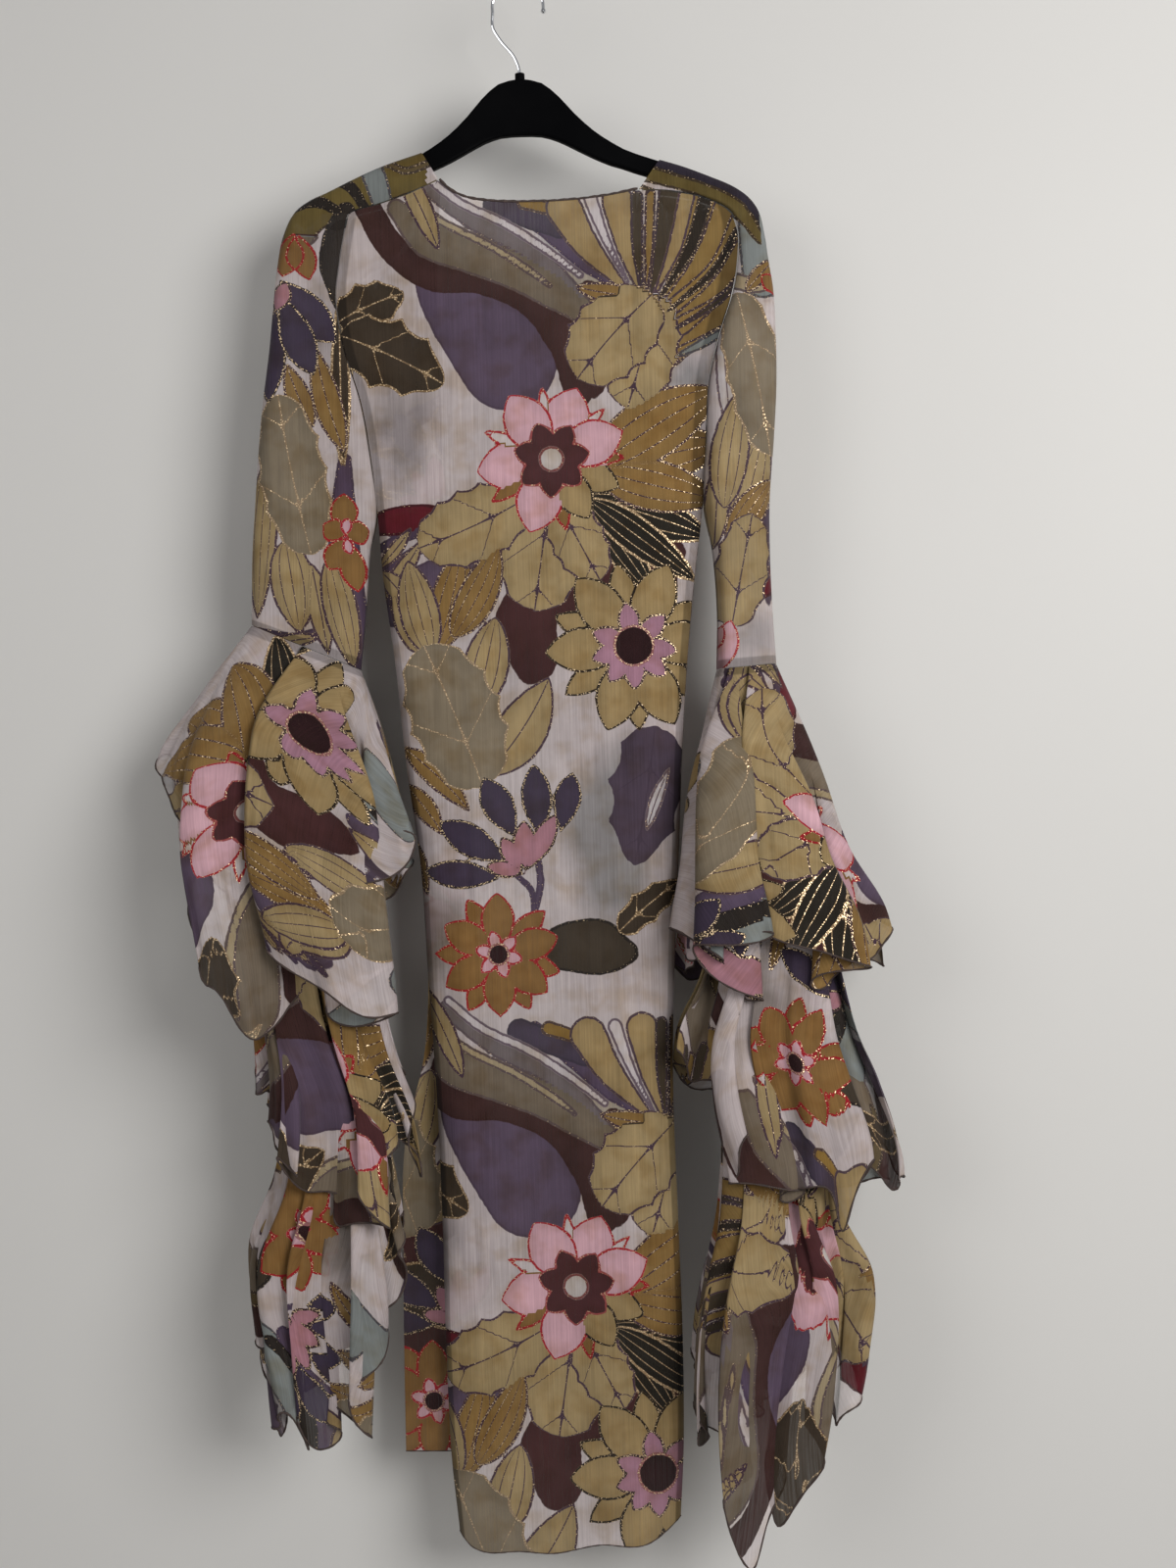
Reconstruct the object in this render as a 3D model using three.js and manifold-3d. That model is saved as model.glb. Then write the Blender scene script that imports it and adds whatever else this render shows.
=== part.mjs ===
// Sheer open-front jacket with saddle sleeves and three flounces on each, hung on a plastic hanger.
// Millimetres, +Z up. The origin is the inside of the hook's top, where a rail carries it.
// The back faces -Y and the open fronts face +Y. A drop is a distance below the origin.
import * as THREE from 'three';
import { mergeVertices } from 'three/addons/utils/BufferGeometryUtils.js';
import Module from 'manifold-3d';

const wasm = await Module();
wasm.setup();

// Cloth
const WALL = 1.2;
const SEAM = 0.3;
const FOLD_SHARPNESS = 6;

// Room for the corners of edges that turn at a seam, so that the walls stay a seam's gap apart
const TURNED_SEAM = 1.8;
const CLOSED_EDGE = 0.6;
const FLOUNCE_SEAM = 0.7;

// Bound neckline
const BINDING_WIDTH = 3;
const BINDING_WALL = 1.8;
const BINDING_GAP = 0.5;
const BINDING_END_SHARE = 0.2;

// Hanger
const HANGER_SPAN = 424;
const HANGER_THICKNESS = 10;
const HANGER_EDGE_ROUND = 2.4;
const BOSS_RADIUS = 4.7;
const BOSS_TOP_DROP = 87.6;
const WIRE_RADIUS = 1.7;
const WIRE_FIT = 0.3;
const BORE_DEPTH = 18;
const HOOK_RADIUS = 25;
const HOOK_START_ANGLE = 190;
const HOOK_END_ANGLE = -8;
const HOOK_TIP_RADIUS = 2.6;

// Mesh fineness
const SLEEVE_COLUMNS = 18;
const FLOUNCE_COLUMNS = 40;
const FLOUNCE_ROWS = 9;
const NECK_COLUMNS = 10;
const TOP_SHAPE_ROWS = 4;
const BOSS_SIDES = 20;
const HOOK_ROUND_STEPS = 9;
const TIP_SIDES = 10;
const TIP_RINGS = 8;
const MERGE_DISTANCE = 0.0001;
const WIRE_SIDES = 8;
const WIRE_STEPS = 40;

const BLACK_PLASTIC = { color: 0x17171a, roughness: 0.55, metalness: 0 };
const CHROME = { color: 0xc9cccf, roughness: 0.18, metalness: 1 };
const CHIFFON = { color: 0xb3a894, roughness: 0.8, metalness: 0 };
const SLEEVE_CHIFFON = { color: 0xa3936b, roughness: 0.8, metalness: 0 };
const FLOUNCE_CHIFFON = { color: 0xb5a9b0, roughness: 0.8, metalness: 0 };
const DARK_BINDING = { color: 0x3b2a2c, roughness: 0.8, metalness: 0 };

// Hanger outline, one half. Columns: out from the centre, drop of the top, drop of the underside.
const HANGER_OUTLINE = readTable(['out', 'top', 'under'], [
  [0, 93, 148],
  [20, 97.5, 149],
  [36, 111, 154],
  [50, 127, 161],
  [69, 145, 171],
  [87, 157.5, 179],
  [98, 164, 182.5],
  [110, 169, 187],
  [137, 178.6, 196],
  [165, 190, 206],
  [190, 201.2, 215],
  [205, 208.5, 220],
  [212, 214, 217],
]);

// Wire below the hook's round. Columns: x, drop.
const HOOK_STEM = [
  [0, 105.3],
  [0, 98],
  [0, 90],
  [-0.6, 83],
  [-5, 71],
  [-17.5, 55],
  [-25, 41],
];

// Shoulder seams between the saddles and the panels, from the neck out. Columns: x, drop.
const SHOULDER_SEAM_LEFT = [
  [-81.5, 190],
  [-112, 203],
  [-140, 212],
  [-158, 216],
  [-166, 218.5],
  [-170, 222],
];
const SHOULDER_SEAM_RIGHT = [
  [112, 206],
  [138, 207],
  [165, 212],
  [184, 219],
  [195, 225],
  [202, 232],
];

// Armhole seams below them, down to the underarm. Columns: x, drop, y of the seam each way.
const ARMHOLE_LEFT = [
  [-175, 243, 9.5],
  [-180, 270, 10.5],
  [-184, 302, 11],
  [-178, 350, 11.5],
  [-163, 405, 11.5],
  [-155, 460, 10.5],
  [-151, 512, 6],
];
const ARMHOLE_RIGHT = [
  [207, 250, 9.5],
  [206, 274, 10.5],
  [201, 304, 11],
  [187, 345, 11.5],
  [175, 392, 11.5],
  [170, 450, 10.5],
  [166, 512, 6],
];
const SHOULDER_GAPE = 9;

// Body's folded sides below the underarm.
const BODY_BELOW = [
  { leftX: -147, leftDrop: 575, rightX: 156, rightDrop: 575 },
  { leftX: -138, leftDrop: 655, rightX: 146, rightDrop: 660 },
  { leftX: -130, leftDrop: 755, rightX: 138, rightDrop: 750 },
  { leftX: -119, leftDrop: 855, rightX: 132, rightDrop: 845 },
  { leftX: -115, leftDrop: 960, rightX: 125, rightDrop: 950 },
  { leftX: -110, leftDrop: 1075, rightX: 120, rightDrop: 1070 },
  { leftX: -108, leftDrop: 1200, rightX: 121, rightDrop: 1200 },
  { leftX: -108, leftDrop: 1320, rightX: 122, rightDrop: 1320 },
  { leftX: -106, leftDrop: 1425, rightX: 120, rightDrop: 1420 },
];

// Back neckline between the shoulder seams. Columns: x, drop.
const NECKLINE = readTable(['x', 'drop'], [
  [-81.5, 190],
  [-72, 200],
  [-57, 208.5],
  [-32, 213.5],
  [2, 215.5],
  [44, 215],
  [78, 212],
  [112, 206],
]);

// Back hem. Columns: x, drop.
const BACK_HEM = readTable(['x', 'drop'], [
  [-100, 1500],
  [-88, 1513],
  [-40, 1518],
  [-8, 1522],
  [37, 1514],
  [81, 1514],
  [115, 1492],
]);

const BACK_HEM_ENDS = [-100, 115];

// Half of the body's depth. Columns: drop, half.
const BODY_DEPTH = readTable(['drop', 'half'], [
  [190, 9],
  [300, 12],
  [512, 14],
  [900, 14],
  [1520, 12],
]);

// Centre edges of the open fronts. Columns: drop, x on the left and on the right.
const CENTRE_EDGES = readTable(['drop', 'left', 'right'], [
  [190, -81.5, 112],
  [300, -88, 102],
  [512, -84, 88],
  [755, -74, 77],
  [960, -66, 70],
  [1240, -60, 67],
  [1440, -56, 66],
]);

// Fronts below the top of the side vents, where they hang free of the back.
const FRONTS_BELOW_VENT = [
  { drop: 1040, leftX: -122, rightX: 119, gape: 8 },
  { drop: 1120, leftX: -143, rightX: 117, gape: 15 },
  { drop: 1240, leftX: -149, rightX: 116, gape: 17 },
  { drop: 1340, leftX: -151, rightX: 116, gape: 17 },
  { drop: 1428, leftX: -152, rightX: 115, gape: 17 },
];
const VENT_TOP_DROP = 960;

// Top and outer line of each sleeve, one row for each point of its shoulder seam and armhole.
// Columns: x, drop, half of the depth.
const SLEEVE_TOP_LEFT = [
  [-98, 162, 9],
  [-134, 173.5, 9],
  [-166, 186.5, 9],
  [-192, 198, 9.5],
  [-208, 205, 10],
  [-221, 214, 10.5],
  [-234, 238, 12],
  [-241, 270, 13.5],
  [-246, 305, 15],
  [-252, 355, 16],
  [-260, 410, 17],
  [-266, 462, 17],
  [-270, 512, 17],
];
const SLEEVE_TOP_RIGHT = [
  [134, 175.5, 9],
  [155, 182.5, 9],
  [182, 194, 9],
  [206, 205.5, 9.5],
  [220, 216.5, 10],
  [228, 229, 11],
  [233, 252, 14],
  [236, 276, 17],
  [240, 305, 20],
  [241, 350, 22],
  [240, 398, 24],
  [236, 452, 25],
  [230, 512, 26],
];

// Sleeves below the underarm. Columns: outer x and drop, inner x and drop, half of the depth.
const SLEEVE_BELOW_LEFT = [
  { outX: -273, outDrop: 548, inX: -159, inDrop: 550, half: 17 },
  { outX: -275, outDrop: 585, inX: -164, inDrop: 602, half: 16.5 },
  { outX: -276, outDrop: 615, inX: -171, inDrop: 662, half: 16 },
];
const SLEEVE_BELOW_RIGHT = [
  { outX: 229, outDrop: 558, inX: 173, inDrop: 556, half: 26 },
  { outX: 230, outDrop: 614, inX: 176, inDrop: 614, half: 26 },
  { outX: 232, outDrop: 668, inX: 174, inDrop: 672, half: 25 },
];

// Flounces hang from the sleeve's end. A fall is a distance below that seam.
// Columns: fall, outer x, inner x, half of the depth, y of the middle, strength of the folds.
const RING_COLUMNS = ['fall', 'outX', 'inX', 'half', 'middle', 'fold'];

// Hems. Columns: place round the sleeve, fall. Places run from -1 to 1: 0 is the outer edge,
// -0.5 the middle of the back, 0.5 the middle of the front and 1 the inner edge.
const HEM_COLUMNS = ['place', 'fall'];

const FLOUNCES_LEFT = [
  {
    rings: [
      [0, -276, -171, 16, 0, 0],
      [60, -322, -152, 27, -2, 0.08],
      [130, -356, -141, 38, -6, 0.16],
      [200, -360, -137, 45, -10, 0.28],
      [270, -350, -133, 48, -14, 0.34],
      [380, -332, -130, 50, -18, 0.38],
    ],
    hem: [
      [-1, 140],
      [-0.9, 160],
      [-0.8, 240],
      [-0.7, 345],
      [-0.6, 320],
      [-0.5, 300],
      [-0.4, 372],
      [-0.3, 330],
      [-0.2, 262],
      [-0.1, 185],
      [0, 130],
      [0.2, 220],
      [0.4, 300],
      [0.6, 330],
      [0.8, 220],
      [1, 140],
    ],
  },
  {
    rings: [
      [0, -274.4, -172.6, 14.4, 0, 0],
      [60, -288, -168, 17, -2, 0.03],
      [130, -296, -170, 22, -6, 0.06],
      [200, -294, -170, 26, -10, 0.1],
      [300, -288, -164, 29, -15, 0.12],
      [370, -278, -152, 30, -18, 0.16],
      [440, -270, -128, 34, -22, 0.3],
      [530, -278, -122, 37, -25, 0.38],
    ],
    hem: [
      [-1, 380],
      [-0.95, 400],
      [-0.85, 478],
      [-0.75, 430],
      [-0.6, 530],
      [-0.45, 528],
      [-0.3, 495],
      [-0.2, 470],
      [0, 440],
      [0.2, 460],
      [0.4, 510],
      [0.6, 470],
      [0.8, 410],
      [1, 380],
    ],
  },
  {
    rings: [
      [0, -272.8, -174.2, 12.8, 0, 0],
      [60, -276, -178, 12, -2, 0.02],
      [130, -278, -184, 15, -6, 0.03],
      [300, -270, -178, 19, -15, 0.05],
      [440, -248, -162, 21, -21, 0.08],
      [530, -258, -152, 25, -24, 0.2],
      [600, -284, -142, 30, -25, 0.36],
      [680, -280, -152, 29, -25, 0.42],
      [800, -266, -166, 24, -23, 0.42],
    ],
    hem: [
      [-1, 520],
      [-0.9, 545],
      [-0.8, 610],
      [-0.7, 650],
      [-0.6, 745],
      [-0.5, 735],
      [-0.45, 802],
      [-0.35, 765],
      [-0.2, 764],
      [-0.1, 735],
      [0, 690],
      [0.2, 700],
      [0.4, 720],
      [0.6, 640],
      [0.8, 560],
      [1, 520],
    ],
  },
];

const FLOUNCES_RIGHT = [
  {
    rings: [
      [0, 232, 174, 25, 0, 0],
      [60, 255, 158, 34, -3, 0.08],
      [110, 271, 149, 40, -6, 0.14],
      [180, 288, 144, 45, -10, 0.24],
      [240, 312, 141, 48, -13, 0.32],
      [320, 318, 138, 50, -17, 0.36],
    ],
    hem: [
      [-1, 275],
      [-0.9, 255],
      [-0.75, 305],
      [-0.6, 250],
      [-0.45, 262],
      [-0.3, 302],
      [-0.15, 268],
      [0, 238],
      [0.25, 290],
      [0.5, 250],
      [0.75, 300],
      [1, 275],
    ],
  },
  {
    rings: [
      [0, 230.4, 175.6, 23.4, 0, 0],
      [60, 243, 168, 25, -3, 0.03],
      [150, 256, 165, 29, -8, 0.06],
      [250, 272, 166, 31, -13, 0.1],
      [300, 280, 156, 32, -16, 0.13],
      [355, 292, 136, 35, -18, 0.2],
      [400, 306, 136, 37, -20, 0.3],
      [470, 324, 148, 38, -23, 0.34],
      [530, 318, 156, 37, -25, 0.38],
    ],
    hem: [
      [-1, 356],
      [-0.85, 385],
      [-0.7, 455],
      [-0.55, 500],
      [-0.4, 528],
      [-0.25, 482],
      [-0.1, 500],
      [0, 476],
      [0.25, 505],
      [0.5, 480],
      [0.8, 400],
      [1, 356],
    ],
  },
  {
    rings: [
      [0, 228.8, 177.2, 21.8, 0, 0],
      [60, 235, 175, 20, -3, 0.02],
      [150, 240, 177, 21, -8, 0.03],
      [250, 252, 184, 21, -13, 0.04],
      [355, 258, 170, 23, -18, 0.06],
      [450, 268, 166, 23, -23, 0.08],
      [520, 270, 161, 23, -25, 0.1],
      [580, 288, 149, 30, -26, 0.32],
      [640, 285, 141, 31, -26, 0.4],
      [720, 276, 138, 30, -26, 0.42],
      [860, 244, 150, 24, -24, 0.42],
    ],
    hem: [
      [-1, 690],
      [-0.9, 722],
      [-0.8, 735],
      [-0.7, 745],
      [-0.6, 858],
      [-0.5, 770],
      [-0.45, 814],
      [-0.35, 730],
      [-0.2, 712],
      [-0.1, 690],
      [0, 662],
      [0.2, 670],
      [0.4, 690],
      [0.6, 720],
      [0.8, 665],
      [1, 690],
    ],
  },
];

// Soft folds down the flounces. Columns: place round the sleeve, rise (in is negative), reach.
const FOLDS_LEFT = [
  [-0.88, 0.7, 0.05],
  [-0.76, -0.8, 0.05],
  [-0.62, 0.9, 0.07],
  [-0.47, -1, 0.05],
  [-0.3, 0.8, 0.08],
  [-0.14, -0.6, 0.05],
  [0.02, 0.3, 0.06],
  [0.17, -0.7, 0.05],
  [0.32, 0.9, 0.07],
  [0.46, -0.8, 0.05],
  [0.6, 0.8, 0.06],
  [0.74, -0.8, 0.05],
  [0.88, 0.6, 0.06],
];
const FOLDS_RIGHT = [
  [-0.9, 0.5, 0.05],
  [-0.78, -0.8, 0.05],
  [-0.64, 0.9, 0.06],
  [-0.52, -0.9, 0.05],
  [-0.4, 0.8, 0.05],
  [-0.26, -0.8, 0.05],
  [-0.12, 0.6, 0.06],
  [0.04, -0.4, 0.05],
  [0.2, 0.8, 0.06],
  [0.34, -0.9, 0.05],
  [0.5, 0.9, 0.07],
  [0.66, -0.8, 0.05],
  [0.82, 0.7, 0.06],
];

// Reads a table smoothly by its first column, and gives the other columns by name.
function readTable(columns, rows) {
  const names = columns.slice(1);
  const places = rows.map((row) => row[0]);
  const values = rows.flatMap((row) => row.slice(1));
  const spline = new THREE.CubicInterpolant(places, values, names.length);
  return (place) => {
    const within = THREE.MathUtils.clamp(place, places[0], places.at(-1));
    const found = spline.evaluate(within);
    return Object.fromEntries(names.map((name, index) => [name, found[index]]));
  };
}

function mix(from, to, share) {
  return from + (to - from) * share;
}

// Depth of a flattened loop across its width, from 1 in the middle to `open` at an edge.
function flatLoop(across, open) {
  return Math.sqrt(Math.max(0, 1 - Math.abs(across) ** FOLD_SHARPNESS * (1 - open * open)));
}

// Moves a line of [x, drop, ...] points sideways in the XZ plane.
function movedAside(line, distance) {
  return line.map(([x, drop, ...rest], index) => {
    const before = line[Math.max(index - 1, 0)];
    const after = line[Math.min(index + 1, line.length - 1)];
    const along = new THREE.Vector2(after[0] - before[0], after[1] - before[1]).normalize();
    return [x - along.y * distance, drop + along.x * distance, ...rest];
  });
}

// Closed wall of cloth round a grid of points, grid[row][column]. A tube's columns meet.
function clothWall(grid, isTube = false, wall = WALL) {
  const rows = grid.length - 1;
  const across = grid[0].length;
  const columns = isTube ? across : across - 1;
  const point = (column, row) => {
    const inRange = isTube ? (column + across) % across : THREE.MathUtils.clamp(column, 0, columns);
    return grid[THREE.MathUtils.clamp(row, 0, rows)][inRange];
  };
  const layer = across * (rows + 1);
  const outer = [];
  const inner = [];
  for (let row = 0; row <= rows; row += 1) {
    for (let column = 0; column < across; column += 1) {
      const round = point(column + 1, row).clone().sub(point(column - 1, row));
      const down = point(column, row + 1).clone().sub(point(column, row - 1));
      const half = round.cross(down).setLength(wall / 2);
      outer.push(point(column, row).clone().add(half));
      inner.push(point(column, row).clone().sub(half));
    }
  }
  const faces = [];
  const quad = (a, b, c, d) => faces.push(a, b, c, a, c, d);
  const at = (column, row) => row * across + (column % across);
  for (let row = 0; row < rows; row += 1) {
    for (let column = 0; column < columns; column += 1) {
      const [a, b] = [at(column, row), at(column + 1, row)];
      const [c, d] = [at(column + 1, row + 1), at(column, row + 1)];
      quad(a, b, c, d);
      quad(layer + a, layer + d, layer + c, layer + b);
    }
  }
  for (let column = 0; column < columns; column += 1) {
    const [a, b] = [at(column, 0), at(column + 1, 0)];
    const [c, d] = [at(column, rows), at(column + 1, rows)];
    quad(b, a, layer + a, layer + b);
    quad(c, d, layer + d, layer + c);
  }
  if (!isTube) {
    for (let row = 0; row < rows; row += 1) {
      const [a, b] = [at(0, row), at(0, row + 1)];
      const [c, d] = [at(columns, row), at(columns, row + 1)];
      quad(a, b, layer + b, layer + a);
      quad(d, c, layer + c, layer + d);
    }
  }
  const geometry = new THREE.BufferGeometry();
  geometry.setFromPoints([...outer, ...inner]);
  geometry.setIndex(faces);
  return geometry;
}

function toManifold(geometry) {
  const bare = geometry.clone();
  bare.deleteAttribute('normal');
  bare.deleteAttribute('uv');
  const merged = mergeVertices(bare, MERGE_DISTANCE);
  const vertProperties = new Float32Array(merged.attributes.position.array);
  const triVerts = new Uint32Array(merged.index.array);
  return new wasm.Manifold(new wasm.Mesh({ numProp: 3, vertProperties, triVerts }));
}

function fromManifold(solid) {
  const mesh = solid.getMesh();
  const geometry = new THREE.BufferGeometry();
  geometry.setAttribute('position', new THREE.BufferAttribute(mesh.vertProperties, 3));
  geometry.setIndex(new THREE.BufferAttribute(mesh.triVerts, 1));
  return geometry;
}

function named(name, geometry, look) {
  geometry.computeVertexNormals();
  const mesh = new THREE.Mesh(geometry, new THREE.MeshStandardMaterial(look));
  mesh.name = name;
  return mesh;
}

function upright(radius, height, topDrop) {
  const cylinder = new THREE.CylinderGeometry(radius, radius, height, BOSS_SIDES);
  cylinder.rotateX(Math.PI / 2);
  cylinder.translate(0, 0, -topDrop - height / 2);
  return toManifold(cylinder);
}

// Flat arms with a high round middle, and a boss that holds the wire.
function makeHangerBody() {
  const inset = HANGER_EDGE_ROUND;
  const outs = [0, 10, 20, 28, 36, 43, 50, 60, 69, 78, 87, 98, 110, 137, 165, 190, 205, HANGER_SPAN / 2];
  const top = outs.map((out) => [out, -HANGER_OUTLINE(out).top - inset]);
  const under = outs.map((out) => [out, -HANGER_OUTLINE(out).under + inset]).slice(0, -1);
  const rightHalf = [...top, ...under.reverse()];
  const leftHalf = rightHalf.slice(1, -1).reverse().map(([out, z]) => [-out, z]);
  const outline = [...rightHalf, ...leftHalf].map(([x, z]) => new THREE.Vector2(x, z));
  const plate = new THREE.ExtrudeGeometry(new THREE.Shape(outline), {
    depth: HANGER_THICKNESS - 2 * inset,
    bevelThickness: inset,
    bevelSize: inset,
    bevelSegments: 2,
  });
  plate.translate(0, 0, inset - HANGER_THICKNESS / 2);
  plate.rotateX(Math.PI / 2);
  const boss = upright(BOSS_RADIUS, BORE_DEPTH, BOSS_TOP_DROP);
  const bore = upright(WIRE_RADIUS + WIRE_FIT, BORE_DEPTH + 1, BOSS_TOP_DROP - 1);
  return fromManifold(toManifold(plate).add(boss).subtract(bore));
}

// Bent wire with a small ball at its tip.
function makeHangerHook() {
  const centreDrop = HOOK_RADIUS - WIRE_RADIUS;
  const onRound = (degrees) => {
    const angle = THREE.MathUtils.degToRad(degrees);
    const out = HOOK_RADIUS * Math.cos(angle);
    return new THREE.Vector3(out, 0, HOOK_RADIUS * Math.sin(angle) - centreDrop);
  };
  const route = HOOK_STEM.map(([x, drop]) => new THREE.Vector3(x, 0, -drop));
  for (let step = 0; step <= HOOK_ROUND_STEPS; step += 1) {
    route.push(onRound(mix(HOOK_START_ANGLE, HOOK_END_ANGLE, step / HOOK_ROUND_STEPS)));
  }
  const section = new THREE.Shape();
  section.absarc(0, 0, WIRE_RADIUS, 0, 2 * Math.PI);
  const wire = new THREE.ExtrudeGeometry(section, {
    steps: WIRE_STEPS,
    curveSegments: WIRE_SIDES / 2,
    bevelEnabled: false,
    extrudePath: new THREE.CatmullRomCurve3(route, false, 'chordal'),
  });
  const tip = new THREE.SphereGeometry(HOOK_TIP_RADIUS, TIP_SIDES, TIP_RINGS);
  tip.translate(...onRound(HOOK_END_ANGLE).toArray());
  return fromManifold(toManifold(wire).add(toManifold(tip)));
}

// Rows of the body from its shoulders down to the top of the side vents.
function bodyRows() {
  const left = movedAside([...SHOULDER_SEAM_LEFT, ...ARMHOLE_LEFT], -TURNED_SEAM / 2);
  const right = movedAside([...SHOULDER_SEAM_RIGHT, ...ARMHOLE_RIGHT], TURNED_SEAM / 2);
  const first = SHOULDER_SEAM_LEFT.length - 1;
  const armhole = left.slice(first).map(([leftX, leftDrop, leftGape], index) => {
    const [rightX, rightDrop, rightGape] = right[first + index];
    const gape = leftGape ?? rightGape ?? SHOULDER_GAPE;
    return { leftX, leftDrop, rightX, rightDrop, gape };
  });
  return [...armhole, ...BODY_BELOW.map((row) => ({ ...row, gape: CLOSED_EDGE }))];
}

// Top edge of the back from shoulder to shoulder, with the neckline between the seams.
function backTopEdge() {
  const left = movedAside([...SHOULDER_SEAM_LEFT, ARMHOLE_LEFT[0]], -TURNED_SEAM / 2).slice(0, -1);
  const right = movedAside([...SHOULDER_SEAM_RIGHT, ARMHOLE_RIGHT[0]], TURNED_SEAM / 2).slice(0, -1);
  const neck = [];
  for (let step = 1; step < NECK_COLUMNS; step += 1) {
    const x = mix(left[0][0], right[0][0], step / NECK_COLUMNS);
    neck.push([x, NECKLINE(x).drop]);
  }
  return { left, right, whole: [...left.toReversed(), ...neck, ...right] };
}

// Point of the body on its back (side -1) or its fronts (side 1).
function onBody(x, drop, row, side) {
  const depth = BODY_DEPTH(drop).half;
  const middle = (row.leftX + row.rightX) / 2;
  const across = (x - middle) / ((row.rightX - row.leftX) / 2);
  const y = depth * flatLoop(across, Math.min(row.gape / depth, 1));
  return new THREE.Vector3(x, side * y, -drop);
}

// How much of the shape of the top edge is left in a row below it.
function topShapeLeft(row) {
  return Math.max(0, 1 - row / TOP_SHAPE_ROWS);
}

function makeBack() {
  const top = backTopEdge().whole;
  const [first, last] = [top[0], top.at(-1)];
  const [hemLeft, hemRight] = BACK_HEM_ENDS;
  const hem = { leftX: hemLeft, rightX: hemRight, gape: CLOSED_EDGE };
  const grid = bodyRows().map((row, index) => top.map(([topX, topDrop]) => {
    const share = (topX - first[0]) / (last[0] - first[0]);
    const shape = topDrop - mix(first[1], last[1], share);
    const drop = mix(row.leftDrop, row.rightDrop, share) + shape * topShapeLeft(index);
    return onBody(mix(row.leftX, row.rightX, share), drop, row, -1);
  }));
  grid.push(top.map(([topX]) => {
    const x = mix(hemLeft, hemRight, (topX - first[0]) / (last[0] - first[0]));
    return onBody(x, BACK_HEM(x).drop, hem, -1);
  }));
  return clothWall(grid);
}

// One front, from its side edge to its open centre edge.
function makeFront(isLeft) {
  const edge = backTopEdge();
  const top = isLeft ? edge.left.toReversed() : edge.right.toReversed();
  const [sideTop, centreTop] = [top[0], top.at(-1)];
  const shares = top.map(([x]) => (x - sideTop[0]) / (centreTop[0] - sideTop[0]));
  const sideOf = (row) => (isLeft ? row.leftX : row.rightX);
  const centreOf = (drop) => (isLeft ? CENTRE_EDGES(drop).left : CENTRE_EDGES(drop).right);
  const joined = bodyRows().filter((row) => row.leftDrop <= VENT_TOP_DROP);
  const grid = joined.map((row, index) => top.map(([, topDrop], column) => {
    const sideDrop = isLeft ? row.leftDrop : row.rightDrop;
    const drop = sideDrop + (topDrop - sideTop[1]) * topShapeLeft(index);
    const x = index === 0 ? top[column][0] : mix(sideOf(row), centreOf(drop), shares[column]);
    return onBody(x, drop, row, 1);
  }));
  for (const row of FRONTS_BELOW_VENT) {
    grid.push(shares.map((share) => {
      const x = mix(sideOf(row), centreOf(row.drop), share);
      const y = mix(row.gape, BODY_DEPTH(row.drop).half, share ** 0.5);
      return new THREE.Vector3(x, y, -row.drop);
    }));
  }
  return clothWall(grid);
}

// Narrow dark strip that binds the back neckline, from the points of its edge.
function makeNeckBinding() {
  const { left, whole } = backTopEdge();
  const [row] = bodyRows();
  const edge = whole.slice(left.length - 1, left.length + NECK_COLUMNS);
  const pulledIn = (end, next) => end.map((value, axis) => mix(value, next[axis], BINDING_END_SHARE));
  edge[0] = pulledIn(edge[0], edge[1]);
  edge[NECK_COLUMNS] = pulledIn(edge[NECK_COLUMNS], edge[NECK_COLUMNS - 1]);
  const line = (rise) => edge.map(([x, drop]) => onBody(x, drop - rise, row, -1));
  return clothWall([line(BINDING_WIDTH + BINDING_GAP), line(BINDING_GAP)], false, BINDING_WALL);
}

// Rows of a sleeve: its saddle from the neck, the armhole, and the arm down to the elbow.
function sleeveRows(shoulderSeam, armhole, topLine, below, seamSide) {
  const seam = movedAside([...shoulderSeam, ...armhole], seamSide * SEAM / 2);
  const upper = seam.map(([inX, inDrop, gape = SHOULDER_GAPE], index) => {
    const [outX, outDrop, half] = topLine[index];
    return { inX, inDrop, outX, outDrop, half, gape };
  });
  return [...upper, ...below.map((row) => ({ ...row, gape: CLOSED_EDGE }))];
}

// Saddle sleeve in one piece: its edges lie on the shoulder seam and meet below the underarm.
function makeSleeve(rows) {
  const grid = rows.map(({ inX, inDrop, outX, outDrop, half, gape }) => {
    const line = [];
    for (let column = 0; column <= SLEEVE_COLUMNS; column += 1) {
      const place = mix(-1, 1, column / SLEEVE_COLUMNS);
      const across = Math.cos(Math.PI * place);
      const open = across < 0 ? Math.min(gape / half, 1) : 0;
      const y = Math.sign(place) * half * flatLoop(across, open);
      const share = (across + 1) / 2;
      line.push(new THREE.Vector3(mix(inX, outX, share), y, -mix(inDrop, outDrop, share)));
    }
    return line;
  });
  return clothWall(grid);
}

// Height of the folds at one place round a flounce.
function foldRise(folds, place) {
  return folds.reduce((sum, [at, rise, reach]) => {
    const gap = Math.abs(place - at);
    const apart = Math.min(gap, 2 - gap) / reach;
    return sum + rise * Math.exp(-apart * apart);
  }, 0);
}

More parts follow.
